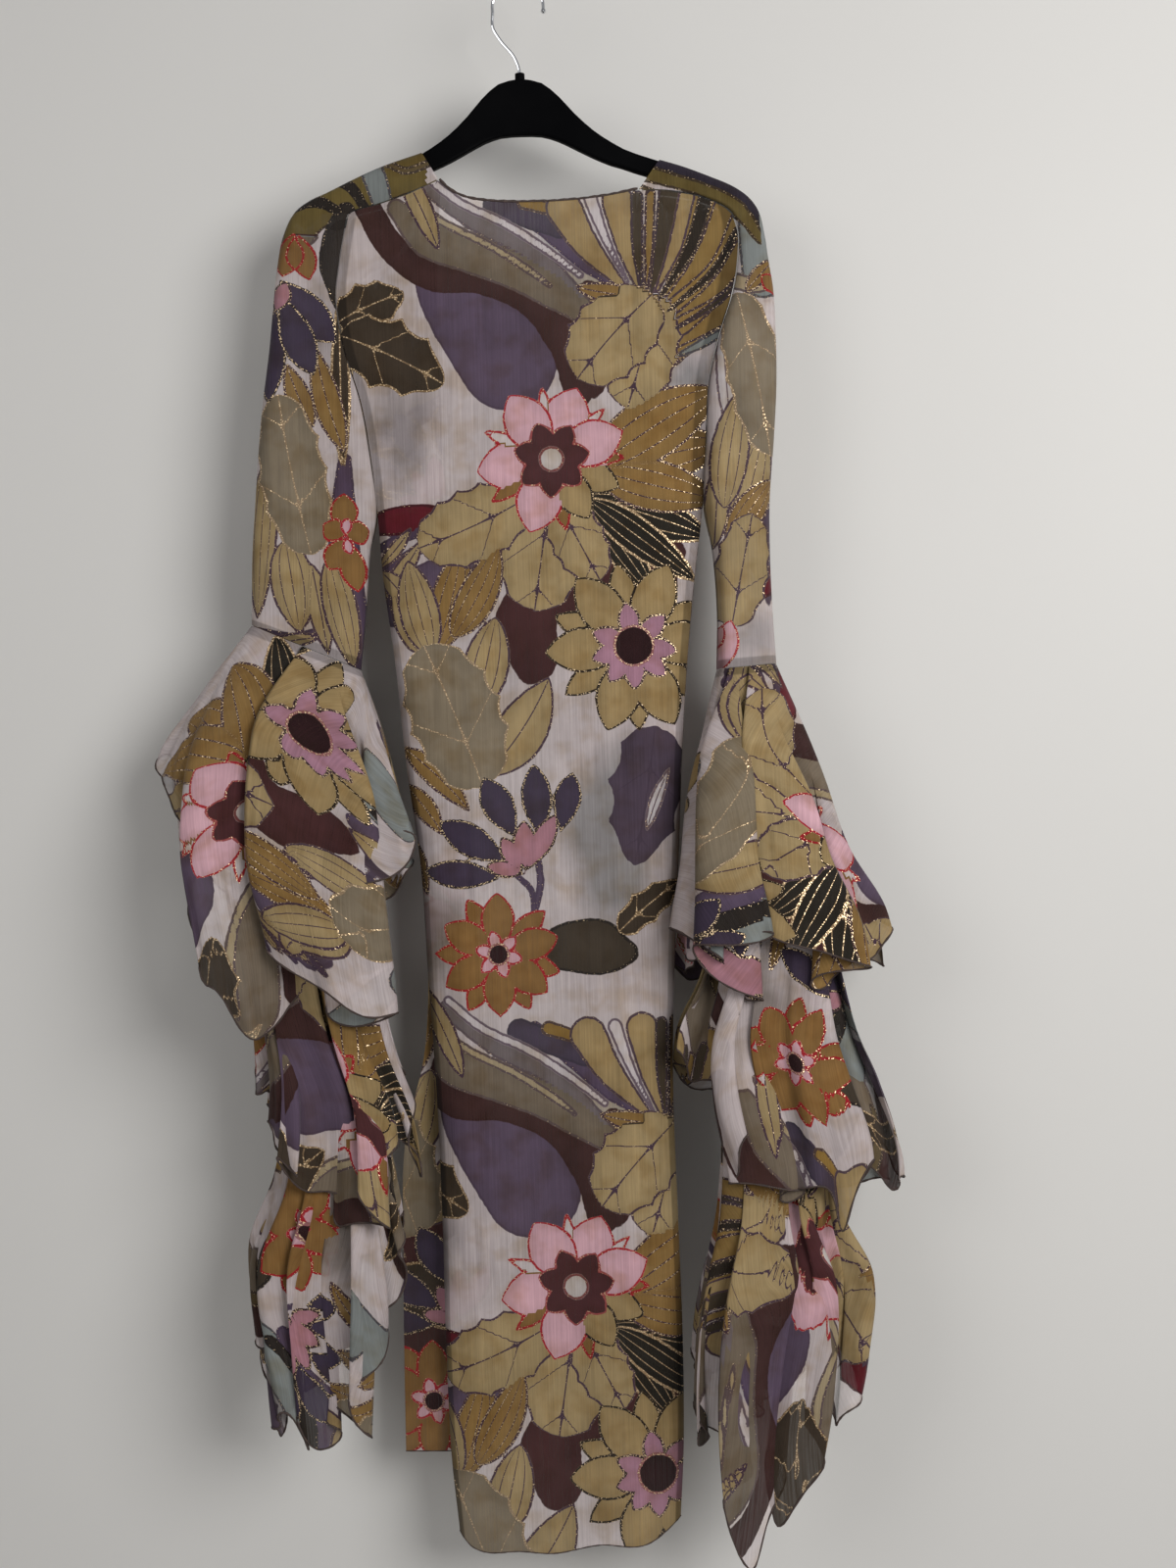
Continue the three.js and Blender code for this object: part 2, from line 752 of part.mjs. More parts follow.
// Flounce that flares from the end of a sleeve to a hem of uneven length.
function makeFlounce({ rings, hem }, folds, sleeveEnd) {
  const ringAt = readTable(RING_COLUMNS, rings);
  const hemAt = readTable(HEM_COLUMNS, hem);
  const places = Array.from({ length: FLOUNCE_COLUMNS }, (_, step) => mix(-1, 1, step / FLOUNCE_COLUMNS));
  const grid = [];
  for (let row = 0; row <= FLOUNCE_ROWS; row += 1) {
    grid.push(places.map((place) => {
      const fall = hemAt(place).fall * row / FLOUNCE_ROWS;
      const { outX, inX, half, middle, fold } = ringAt(fall);
      const across = Math.cos(Math.PI * place);
      const spread = 1 + fold * foldRise(folds, place);
      const x = (outX + inX) / 2 + (outX - inX) / 2 * across * spread;
      const y = middle + Math.sign(place) * half * flatLoop(across, 0) * spread;
      const seamDrop = mix(sleeveEnd.inDrop, sleeveEnd.outDrop, (across + 1) / 2);
      return new THREE.Vector3(x, y, -(seamDrop + FLOUNCE_SEAM + fall));
    }));
  }
  return clothWall(grid, true);
}

const sleeveRowsLeft = sleeveRows(
  SHOULDER_SEAM_LEFT,
  ARMHOLE_LEFT,
  SLEEVE_TOP_LEFT,
  SLEEVE_BELOW_LEFT,
  1,
);
const sleeveRowsRight = sleeveRows(
  SHOULDER_SEAM_RIGHT,
  ARMHOLE_RIGHT,
  SLEEVE_TOP_RIGHT,
  SLEEVE_BELOW_RIGHT,
  -1,
);

const jacket = new THREE.Group();
jacket.add(
  named('hanger_body', makeHangerBody(), BLACK_PLASTIC),
  named('hanger_hook', makeHangerHook(), CHROME),
  named('back', makeBack(), CHIFFON),
  named('front_left', makeFront(true), CHIFFON),
  named('front_right', makeFront(false), CHIFFON),
  named('neck_binding', makeNeckBinding(), DARK_BINDING),
  named('sleeve_left', makeSleeve(sleeveRowsLeft), SLEEVE_CHIFFON),
  named('sleeve_right', makeSleeve(sleeveRowsRight), SLEEVE_CHIFFON),
);
FLOUNCES_LEFT.forEach((flounce, index) => {
  const geometry = makeFlounce(flounce, FOLDS_LEFT, sleeveRowsLeft.at(-1));
  jacket.add(named(`flounce_left_${index + 1}`, geometry, FLOUNCE_CHIFFON));
});
FLOUNCES_RIGHT.forEach((flounce, index) => {
  const geometry = makeFlounce(flounce, FOLDS_RIGHT, sleeveRowsRight.at(-1));
  jacket.add(named(`flounce_right_${index + 1}`, geometry, FLOUNCE_CHIFFON));
});

export default jacket;
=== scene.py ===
# Sheer printed jacket on a hanger, seen from behind.
# Tables are in millimetres in the CAD's frame. A drop is a distance below the hook. Meshes are in metres,
# angles in the tables are in degrees, and a place round a sleeve runs from -1 to 1: 0 is its outer line,
# below 0 is the back and above 0 the front.
import math

import bmesh
import bpy
import numpy as np
from mathutils import Matrix, Vector


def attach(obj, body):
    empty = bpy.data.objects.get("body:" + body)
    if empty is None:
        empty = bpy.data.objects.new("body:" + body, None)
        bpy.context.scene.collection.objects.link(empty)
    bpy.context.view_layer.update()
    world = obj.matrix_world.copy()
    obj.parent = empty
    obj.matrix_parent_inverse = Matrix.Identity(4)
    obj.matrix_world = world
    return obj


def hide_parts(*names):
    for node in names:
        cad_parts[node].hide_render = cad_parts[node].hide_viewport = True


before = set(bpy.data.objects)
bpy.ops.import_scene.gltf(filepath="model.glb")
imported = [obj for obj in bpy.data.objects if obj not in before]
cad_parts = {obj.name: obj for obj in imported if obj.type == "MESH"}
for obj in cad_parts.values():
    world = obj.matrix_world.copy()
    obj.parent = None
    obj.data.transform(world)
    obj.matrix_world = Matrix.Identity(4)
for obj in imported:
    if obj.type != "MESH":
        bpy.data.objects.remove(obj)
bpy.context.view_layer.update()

MM = 0.001

# Columns and rows of the panels' meshes, and columns and heights of the cells of the flounces
BACK_GRID = (128, 400)
FRONT_GRID = (36, 380)
SLEEVE_GRID = (84, 160)
FLOUNCE_COLUMNS = 260
CELL = 3.2
LOWER_CELL = 4.2

# Rolled edges: points round a hem, radii, sides of the tube, width of a stitch and stitches in a metre down
HEM_POINTS = 420
HEM_RADIUS = 0.95
PANEL_HEM_RADIUS = 0.6
PANEL_EDGE_RADIUS = 0.5
NECK_RADIUS = 1.3
TUBE_SIDES = 8
STITCH = 2.2
STITCH_ROWS = 400

# The print repeats every so many millimetres across and down
TILE = (420, 799)

# Distance given to points that are far from every motif or seam
FAR = 40.0


def smooth(places, values, at):
    """Reads columns of values at some places on a smooth curve, the way the CAD reads its tables."""
    places = np.asarray(places, float)
    values = np.asarray(values, float).reshape(len(places), -1)
    at = np.clip(np.asarray(at, float), places[0], places[-1])
    after = np.clip(np.searchsorted(places, at, side="right"), 1, len(places) - 1)
    start, end = places[after - 1], places[after]
    before_it = np.where(after >= 2, after - 2, after)
    beyond = np.where(after + 1 < len(places), after + 1, after - 1)
    half = (end - start) / 2
    back = (half / (start - places[before_it]))[..., None]
    on = (half / (places[beyond] - end))[..., None]
    p = ((at - start) / (end - start))[..., None]
    p2, p3 = p * p, p * p * p
    return (
        (-back * p3 + 2 * back * p2 - back * p) * values[before_it]
        + ((1 + back) * p3 + (-1.5 - 2 * back) * p2 + (-0.5 + back) * p + 1) * values[after - 1]
        + ((-1 - on) * p3 + (1.5 + on) * p2 + 0.5 * p) * values[after]
        + (on * p3 - on * p2) * values[beyond]
    )


def reader(rows):
    """A table read smoothly by its first column."""
    rows = np.asarray(rows, float)
    return lambda at: smooth(rows[:, 0], rows[:, 1:], at)


def mix(a, b, share):
    return a + (b - a) * share


def ease(low, high, x):
    t = np.clip((x - low) / (high - low), 0, 1)
    return t * t * (3 - 2 * t)


# Form of the cloth, as in the CAD

TURNED_SEAM = 1.8
SEAM = 0.3
CLOSED_EDGE = 0.6
FLOUNCE_SEAM = 0.7
SHOULDER_GAPE = 9
FOLD_SHARPNESS = 6
TOP_SHAPE_ROWS = 4
VENT_TOP_DROP = 960

# Columns: x, drop
SHOULDER_SEAM_LEFT = [(-81.5, 190), (-112, 203), (-140, 212), (-158, 216), (-166, 218.5), (-170, 222)]
SHOULDER_SEAM_RIGHT = [(112, 206), (138, 207), (165, 212), (184, 219), (195, 225), (202, 232)]

# Columns: x, drop, y of the seam each way
ARMHOLE_LEFT = [
    (-175, 243, 9.5), (-180, 270, 10.5), (-184, 302, 11), (-178, 350, 11.5), (-163, 405, 11.5),
    (-155, 460, 10.5), (-151, 512, 6),
]
ARMHOLE_RIGHT = [
    (207, 250, 9.5), (206, 274, 10.5), (201, 304, 11), (187, 345, 11.5), (175, 392, 11.5),
    (170, 450, 10.5), (166, 512, 6),
]

# Columns: left x and drop, right x and drop
BODY_BELOW = [
    (-147, 575, 156, 575), (-138, 655, 146, 660), (-130, 755, 138, 750), (-119, 855, 132, 845),
    (-115, 960, 125, 950), (-110, 1075, 120, 1070), (-108, 1200, 121, 1200), (-108, 1320, 122, 1320),
    (-106, 1425, 120, 1420),
]

# Columns: x, drop
NECKLINE = reader([
    (-81.5, 190), (-72, 200), (-57, 208.5), (-32, 213.5), (2, 215.5), (44, 215), (78, 212), (112, 206),
])
BACK_HEM = reader([
    (-100, 1500), (-88, 1513), (-40, 1518), (-8, 1522), (37, 1514), (81, 1514), (115, 1492),
])
BACK_HEM_ENDS = (-100, 115)
BACK_HEM_PLACE = 1512

# Columns: drop, half of the depth
BODY_DEPTH = reader([(190, 9), (300, 12), (512, 14), (900, 14), (1520, 12)])

# Columns: drop, x of the left centre edge, x of the right one
CENTRE_EDGES = reader([
    (190, -81.5, 112), (300, -88, 102), (512, -84, 88), (755, -74, 77), (960, -66, 70), (1240, -60, 67),
    (1440, -56, 66),
])

# Columns: drop, left x, right x, gape
FRONTS_BELOW_VENT = [
    (1040, -122, 119, 8), (1120, -143, 117, 15), (1240, -149, 116, 17), (1340, -151, 116, 17),
    (1428, -152, 115, 17),
]

# Columns: x, drop, half of the depth
SLEEVE_TOP_LEFT = [
    (-98, 162, 9), (-134, 173.5, 9), (-166, 186.5, 9), (-192, 198, 9.5), (-208, 205, 10),
    (-221, 214, 10.5), (-234, 238, 12), (-241, 270, 13.5), (-246, 305, 15), (-252, 355, 16),
    (-260, 410, 17), (-266, 462, 17), (-270, 512, 17),
]
SLEEVE_TOP_RIGHT = [
    (134, 175.5, 9), (155, 182.5, 9), (182, 194, 9), (206, 205.5, 9.5), (220, 216.5, 10), (228, 229, 11),
    (233, 252, 14), (236, 276, 17), (240, 305, 20), (241, 350, 22), (240, 398, 24), (236, 452, 25),
    (230, 512, 26),
]

# Columns: outer x and drop, inner x and drop, half of the depth
SLEEVE_BELOW_LEFT = [(-273, 548, -159, 550, 17), (-275, 585, -164, 602, 16.5), (-276, 615, -171, 662, 16)]
SLEEVE_BELOW_RIGHT = [(229, 558, 173, 556, 26), (230, 614, 176, 614, 26), (232, 668, 174, 672, 25)]

# Columns of rings: fall, outer x, inner x, half of the depth, y of the middle, strength of the folds.
# Columns of hem: place round the sleeve, fall
FLOUNCES_LEFT = [
    {
        "rings": [
            (0, -276, -171, 16, 0, 0), (60, -322, -152, 27, -2, 0.08), (130, -356, -141, 38, -6, 0.16),
            (200, -360, -137, 45, -10, 0.28), (270, -350, -133, 48, -14, 0.34),
            (380, -332, -130, 50, -18, 0.38),
        ],
        "hem": [
            (-1, 140), (-0.9, 160), (-0.8, 240), (-0.7, 345), (-0.6, 320), (-0.5, 300), (-0.4, 372),
            (-0.3, 330), (-0.2, 262), (-0.1, 185), (0, 130), (0.2, 220), (0.4, 300), (0.6, 330),
            (0.8, 220), (1, 140),
        ],
    },
    {
        "rings": [
            (0, -274.4, -172.6, 14.4, 0, 0), (60, -288, -168, 17, -2, 0.03),
            (130, -296, -170, 22, -6, 0.06), (200, -294, -170, 26, -10, 0.1),
            (300, -288, -164, 29, -15, 0.12), (370, -278, -152, 30, -18, 0.16),
            (440, -270, -128, 34, -22, 0.3), (530, -278, -122, 37, -25, 0.38),
        ],
        "hem": [
            (-1, 380), (-0.95, 400), (-0.85, 478), (-0.75, 430), (-0.6, 530), (-0.45, 528), (-0.3, 495),
            (-0.2, 470), (0, 440), (0.2, 460), (0.4, 510), (0.6, 470), (0.8, 410), (1, 380),
        ],
    },
    {
        "rings": [
            (0, -272.8, -174.2, 12.8, 0, 0), (60, -276, -178, 12, -2, 0.02),
            (130, -278, -184, 15, -6, 0.03), (300, -270, -178, 19, -15, 0.05),
            (440, -248, -162, 21, -21, 0.08), (530, -258, -152, 25, -24, 0.2),
            (600, -284, -142, 30, -25, 0.36), (680, -280, -152, 29, -25, 0.42),
            (800, -266, -166, 24, -23, 0.42),
        ],
        "hem": [
            (-1, 520), (-0.9, 545), (-0.8, 610), (-0.7, 650), (-0.6, 745), (-0.5, 735), (-0.45, 802),
            (-0.35, 765), (-0.2, 764), (-0.1, 735), (0, 690), (0.2, 700), (0.4, 720), (0.6, 640),
            (0.8, 560), (1, 520),
        ],
    },
]
FLOUNCES_RIGHT = [
    {
        "rings": [
            (0, 232, 174, 25, 0, 0), (60, 255, 158, 34, -3, 0.08), (110, 271, 149, 40, -6, 0.14),
            (180, 288, 144, 45, -10, 0.24), (240, 312, 141, 48, -13, 0.32),
            (320, 318, 138, 50, -17, 0.36),
        ],
        "hem": [
            (-1, 275), (-0.9, 255), (-0.75, 305), (-0.6, 250), (-0.45, 262), (-0.3, 302), (-0.15, 268),
            (0, 238), (0.25, 290), (0.5, 250), (0.75, 300), (1, 275),
        ],
    },
    {
        "rings": [
            (0, 230.4, 175.6, 23.4, 0, 0), (60, 243, 168, 25, -3, 0.03), (150, 256, 165, 29, -8, 0.06),
            (250, 272, 166, 31, -13, 0.1), (300, 280, 156, 32, -16, 0.13), (355, 292, 136, 35, -18, 0.2),
            (400, 306, 136, 37, -20, 0.3), (470, 324, 148, 38, -23, 0.34), (530, 318, 156, 37, -25, 0.38),
        ],
        "hem": [
            (-1, 356), (-0.85, 385), (-0.7, 455), (-0.55, 500), (-0.4, 528), (-0.25, 482), (-0.1, 500),
            (0, 476), (0.25, 505), (0.5, 480), (0.8, 400), (1, 356),
        ],
    },
    {
        "rings": [
            (0, 228.8, 177.2, 21.8, 0, 0), (60, 235, 175, 20, -3, 0.02), (150, 240, 177, 21, -8, 0.03),
            (250, 252, 184, 21, -13, 0.04), (355, 258, 170, 23, -18, 0.06),
            (450, 268, 166, 23, -23, 0.08), (520, 270, 161, 23, -25, 0.1), (580, 288, 149, 30, -26, 0.32),
            (640, 285, 141, 31, -26, 0.4), (720, 276, 138, 30, -26, 0.42), (860, 244, 150, 24, -24, 0.42),
        ],
        "hem": [
            (-1, 690), (-0.9, 722), (-0.8, 735), (-0.7, 745), (-0.6, 858), (-0.5, 770), (-0.45, 814),
            (-0.35, 730), (-0.2, 712), (-0.1, 690), (0, 662), (0.2, 670), (0.4, 690), (0.6, 720),
            (0.8, 665), (1, 690),
        ],
    },
]

# Soft folds down the flounces. Columns: place round the sleeve, rise, reach
FOLDS_LEFT = [
    (-0.88, 0.7, 0.05), (-0.76, -0.8, 0.05), (-0.62, 0.9, 0.07), (-0.47, -1, 0.05), (-0.3, 0.8, 0.08),
    (-0.14, -0.6, 0.05), (0.02, 0.3, 0.06), (0.17, -0.7, 0.05), (0.32, 0.9, 0.07), (0.46, -0.8, 0.05),
    (0.6, 0.8, 0.06), (0.74, -0.8, 0.05), (0.88, 0.6, 0.06),
]
FOLDS_RIGHT = [
    (-0.9, 0.5, 0.05), (-0.78, -0.8, 0.05), (-0.64, 0.9, 0.06), (-0.52, -0.9, 0.05), (-0.4, 0.8, 0.05),
    (-0.26, -0.8, 0.05), (-0.12, 0.6, 0.06), (0.04, -0.4, 0.05), (0.2, 0.8, 0.06), (0.34, -0.9, 0.05),
    (0.5, 0.9, 0.07), (0.66, -0.8, 0.05), (0.82, 0.7, 0.06),
]


def flat_loop(across, opening):
    """Depth of a flattened loop across its width, from 1 in the middle to the opening at an edge."""
    return np.sqrt(np.maximum(0, 1 - np.abs(across) ** FOLD_SHARPNESS * (1 - opening * opening)))


def moved_aside(line, distance):
    """A line of (x, drop) moved square to itself."""
    moved = []
    for index, point in enumerate(line):
        before, after = line[max(index - 1, 0)], line[min(index + 1, len(line) - 1)]
        along = Vector((after[0] - before[0], after[1] - before[1])).normalized()
        moved.append((point[0] - along.y * distance, point[1] + along.x * distance, *point[2:]))
    return moved


def gape_at(point):
    return point[2] if len(point) > 2 else SHOULDER_GAPE


def body_rows():
    """Rows of (left x, left drop, right x, right drop, gape) from the shoulders to above the hem."""
    left = moved_aside(SHOULDER_SEAM_LEFT + ARMHOLE_LEFT, -TURNED_SEAM / 2)
    right = moved_aside(SHOULDER_SEAM_RIGHT + ARMHOLE_RIGHT, TURNED_SEAM / 2)
    first = len(SHOULDER_SEAM_LEFT) - 1
    rows = [(*a[:2], *b[:2], gape_at(a)) for a, b in zip(left[first:], right[first:])]
    return rows + [(*row, CLOSED_EDGE) for row in BODY_BELOW]


def top_edge():
    """Left seam, right seam and the whole top edge of the back, as lists of (x, drop)."""
    left = moved_aside(SHOULDER_SEAM_LEFT + ARMHOLE_LEFT[:1], -TURNED_SEAM / 2)[:-1]
    right = moved_aside(SHOULDER_SEAM_RIGHT + ARMHOLE_RIGHT[:1], TURNED_SEAM / 2)[:-1]
    left, right = [p[:2] for p in left], [p[:2] for p in right]
    neck_x = np.linspace(left[0][0], right[0][0], 24)[1:-1]
    neck = [(x, float(NECKLINE(x)[0])) for x in neck_x]
    return left, right, left[::-1] + neck + right


def on_body(x, drop, row, side):
    """Points of the body across one of its rows: side is -1 for the back and 1 for the fronts."""
    depth = BODY_DEPTH(drop)[..., 0]
    middle, half = (row[0] + row[2]) / 2, (row[2] - row[0]) / 2
    y = depth * flat_loop((x - middle) / half, np.minimum(row[4] / depth, 1))
    return np.stack([x, side * y, -drop], -1)


def back_rows(share):
    """Points of the back at the CAD's rows, and the rows' places down the cloth."""
    edge = np.array(top_edge()[2])
    first, last = edge[0], edge[-1]
    edge_share = (edge[:, 0] - first[0]) / (last[0] - first[0])
    shape = np.interp(share, edge_share, edge[:, 1]) - mix(first[1], last[1], share)
    grid, places = [], []
    for index, row in enumerate(body_rows()):
        drop = mix(row[1], row[3], share) + shape * max(0, 1 - index / TOP_SHAPE_ROWS)
        grid.append(on_body(mix(row[0], row[2], share), drop, row, -1))
        places.append((row[1] + row[3]) / 2)
    x = mix(*BACK_HEM_ENDS, share)
    hem_row = (BACK_HEM_ENDS[0], 0, BACK_HEM_ENDS[1], 0, CLOSED_EDGE)
    grid.append(on_body(x, BACK_HEM(x)[..., 0], hem_row, -1))
    places.append(BACK_HEM_PLACE)
    return np.array(grid), np.array(places)


def front_rows(share, is_left):
    """Points of one front, from its side edge to its open centre edge."""
    left, right, _ = top_edge()
    edge = np.array((left if is_left else right)[::-1])
    side, centre = edge[0], edge[-1]
    edge_share = (edge[:, 0] - side[0]) / (centre[0] - side[0])
    top_drop = np.interp(share, edge_share, edge[:, 1])
    column = 0 if is_left else 1
    grid, places = [], []
    for index, row in enumerate(r for r in body_rows() if r[1] <= VENT_TOP_DROP):
        side_x, side_drop = (row[0], row[1]) if is_left else (row[2], row[3])
        drop = side_drop + (top_drop - side[1]) * max(0, 1 - index / TOP_SHAPE_ROWS)
        if index == 0:
            x = mix(side[0], centre[0], share)
        else:
            x = mix(side_x, CENTRE_EDGES(drop)[..., column], share)
        grid.append(on_body(x, drop, row, 1))
        places.append(side_drop)
    for row_drop, left_x, right_x, gape in FRONTS_BELOW_VENT:
        centre_x = float(CENTRE_EDGES(row_drop)[..., column])
        x = mix(left_x if is_left else right_x, centre_x, share)
        y = mix(gape, float(BODY_DEPTH(row_drop)[..., 0]), share**0.5)
        grid.append(np.stack([x, y, np.full_like(x, -row_drop)], -1))
        places.append(row_drop)
    return np.array(grid), np.array(places)


def sleeve_rows(seam, armhole, top, below, seam_side):
    """Rows of (inner x, inner drop, outer x, outer drop, half depth, gape)."""
    line = moved_aside(seam + armhole, seam_side * SEAM / 2)
    rows = [(*inner[:2], *outer, gape_at(inner)) for inner, outer in zip(line, top)]
    for out_x, out_drop, in_x, in_drop, half in below:
        rows.append((in_x, in_drop, out_x, out_drop, half, CLOSED_EDGE))
    return rows


SLEEVE_ROWS = {
    "left": sleeve_rows(SHOULDER_SEAM_LEFT, ARMHOLE_LEFT, SLEEVE_TOP_LEFT, SLEEVE_BELOW_LEFT, 1),
    "right": sleeve_rows(SHOULDER_SEAM_RIGHT, ARMHOLE_RIGHT, SLEEVE_TOP_RIGHT, SLEEVE_BELOW_RIGHT, -1),
}


def sleeve_grid(share, side):
    """Points of a saddle sleeve from its back inner edge, over its outer line, to its front inner edge."""
    place = share * 2 - 1
    across = np.cos(np.pi * place)
    grid = []
    for in_x, in_drop, out_x, out_drop, half, gape in SLEEVE_ROWS[side]:
        opening = np.where(across < 0, min(gape / half, 1), 0)
        y = np.sign(place) * half * flat_loop(across, opening)
        out = (across + 1) / 2
        grid.append(np.stack([mix(in_x, out_x, out), y, -mix(in_drop, out_drop, out)], -1))
    grid = np.array(grid)
    steps = np.linalg.norm(np.diff(grid, axis=0), axis=2).mean(1)
    return grid, np.concatenate([[0], np.cumsum(steps)])


def fold_rise(folds, place):
    """How far the soft folds lift the cloth at places round the sleeve."""
    total = np.zeros_like(place)
    for at, rise, reach in folds:
        gap = np.abs(place - at)
        total += rise * np.exp(-((np.minimum(gap, 2 - gap) / reach) ** 2))
    return total


def on_flounce(table, folds, side, place, cloth_place, fall):
    """A flounce's point at a place round the sleeve. Its folds ride with the cloth's own place."""
    out_x, in_x, half, middle, fold = np.moveaxis(reader(table["rings"])(fall), -1, 0)
    across = np.cos(np.pi * place)
    spread = 1 + fold * fold_rise(folds, cloth_place)
    x = (out_x + in_x) / 2 + (out_x - in_x) / 2 * across * spread
    y = middle + np.sign(np.sin(np.pi * place)) * half * flat_loop(across, 0) * spread
    in_drop, out_drop = SLEEVE_ROWS[side][-1][1], SLEEVE_ROWS[side][-1][3]
    drop = mix(in_drop, out_drop, (across + 1) / 2) + FLOUNCE_SEAM + fall
    return np.stack([x, y, -drop], -1)


# Print: motifs are worked out here as signed distances on the cloth, and the material cuts them out crisply

# Columns: colour, colour of the lines, how much the lines glitter
INKS = {
    "white_petal": ((190, 178, 176), (150, 36, 44), 0.5),
    "white_leaf": ((176, 168, 168), (92, 76, 82), 0.2),
    "pink": ((190, 150, 158), (150, 30, 40), 0.45),
    "plum_petal": ((70, 36, 38), (140, 66, 66), 0.5),
    "button": ((182, 172, 168), (110, 60, 60), 0.2),
    "ochre_petal": ((122, 90, 50), (142, 26, 34), 0.45),
    "beige_petal": ((144, 122, 84), (34, 26, 20), 0.55),
    "beige_leaf": ((147, 127, 91), (66, 48, 60), 0.3),
    "ochre_leaf": ((126, 98, 56), (64, 46, 54), 0.8),
    "olive_leaf": ((118, 106, 88), (136, 116, 92), 0.75),
    "olive_stripe": ((92, 78, 54), (60, 50, 44), 0.5),
    "ochre_stripe": ((128, 100, 50), (70, 54, 52), 0.3),
    "black_leaf": ((56, 46, 36), (120, 98, 72), 0.9),
    "purple": ((80, 66, 82), (70, 56, 70), 0.0),
    "plum": ((58, 36, 34), (54, 32, 30), 0.0),
    "dark_ground": ((62, 34, 34), (58, 32, 32), 0.0),
    "olive": ((104, 92, 78), (84, 70, 68), 0.1),
    "olive_wash": ((96, 86, 76), (96, 86, 76), 0.0),
    "grey_wash": ((124, 116, 116), (124, 116, 116), 0.0),
    "cream": ((154, 138, 110), (84, 70, 70), 0.1),
    "cream_wash": ((150, 138, 116), (150, 138, 116), 0.0),
    "grey_band": ((104, 94, 94), (86, 74, 78), 0.1),
    "white_band": ((188, 178, 178), (96, 82, 90), 0.0),
    "blue_wash": ((112, 112, 112), (112, 112, 112), 0.0),
    "blue_band": ((118, 122, 120), (70, 66, 70), 0.3),
    "burgundy": ((88, 22, 32), (60, 18, 24), 0.1),
    "purple_petal": ((58, 48, 64), (36, 28, 30), 1.0),
    "pink_dark": ((158, 112, 122), (44, 30, 32), 0.8),
    "disc": ((40, 18, 20), (140, 92, 92), 0.8),
    "black_band": ((40, 34, 30), (34, 28, 26), 0.3),
    "navy_band": ((44, 38, 48), (36, 30, 36), 0.1),
    "fan_beige": ((144, 122, 84), (70, 54, 62), 0.1),
    "fan_ochre": ((126, 101, 58), (62, 48, 54), 0.4),
    "fan_dark": ((64, 54, 42), (60, 48, 54), 0.3),
    "fan_black": ((42, 35, 28), (52, 42, 38), 0.5),
    "saddle": ((92, 78, 42), (56, 44, 32), 0.3),
    "bean": ((58, 49, 39), (36, 30, 26), 0.1),
    "navy": ((66, 56, 70), (56, 48, 60), 0.0),
    "violet": ((80, 66, 84), (68, 54, 72), 0.1),
    "purple_band": ((76, 60, 78), (64, 50, 66), 0.2),
    "lilac_petal": ((158, 116, 132), (50, 36, 36), 0.9),
    "dark_fan": ((34, 30, 24), (140, 116, 88), 1.0),
    "purple_leaf": ((68, 56, 68), (64, 52, 64), 0.0),
}
LAYERS = 12

# Columns: roundness of the base, sharpness of the tip, teeth, their depth, veins
LEAF_SHAPES = {
    "petal": (1.15, 0.9, 0, 0, 0),
    "plain": (0.75, 0.9, 0, 0, 1),
    "veined": (0.6, 0.75, 0, 0, 4),
    "scalloped": (0.4, 0.42, 5, 0.14, 1),
    "lobed": (0.45, 0.6, 3.5, 0.24, 1),
}

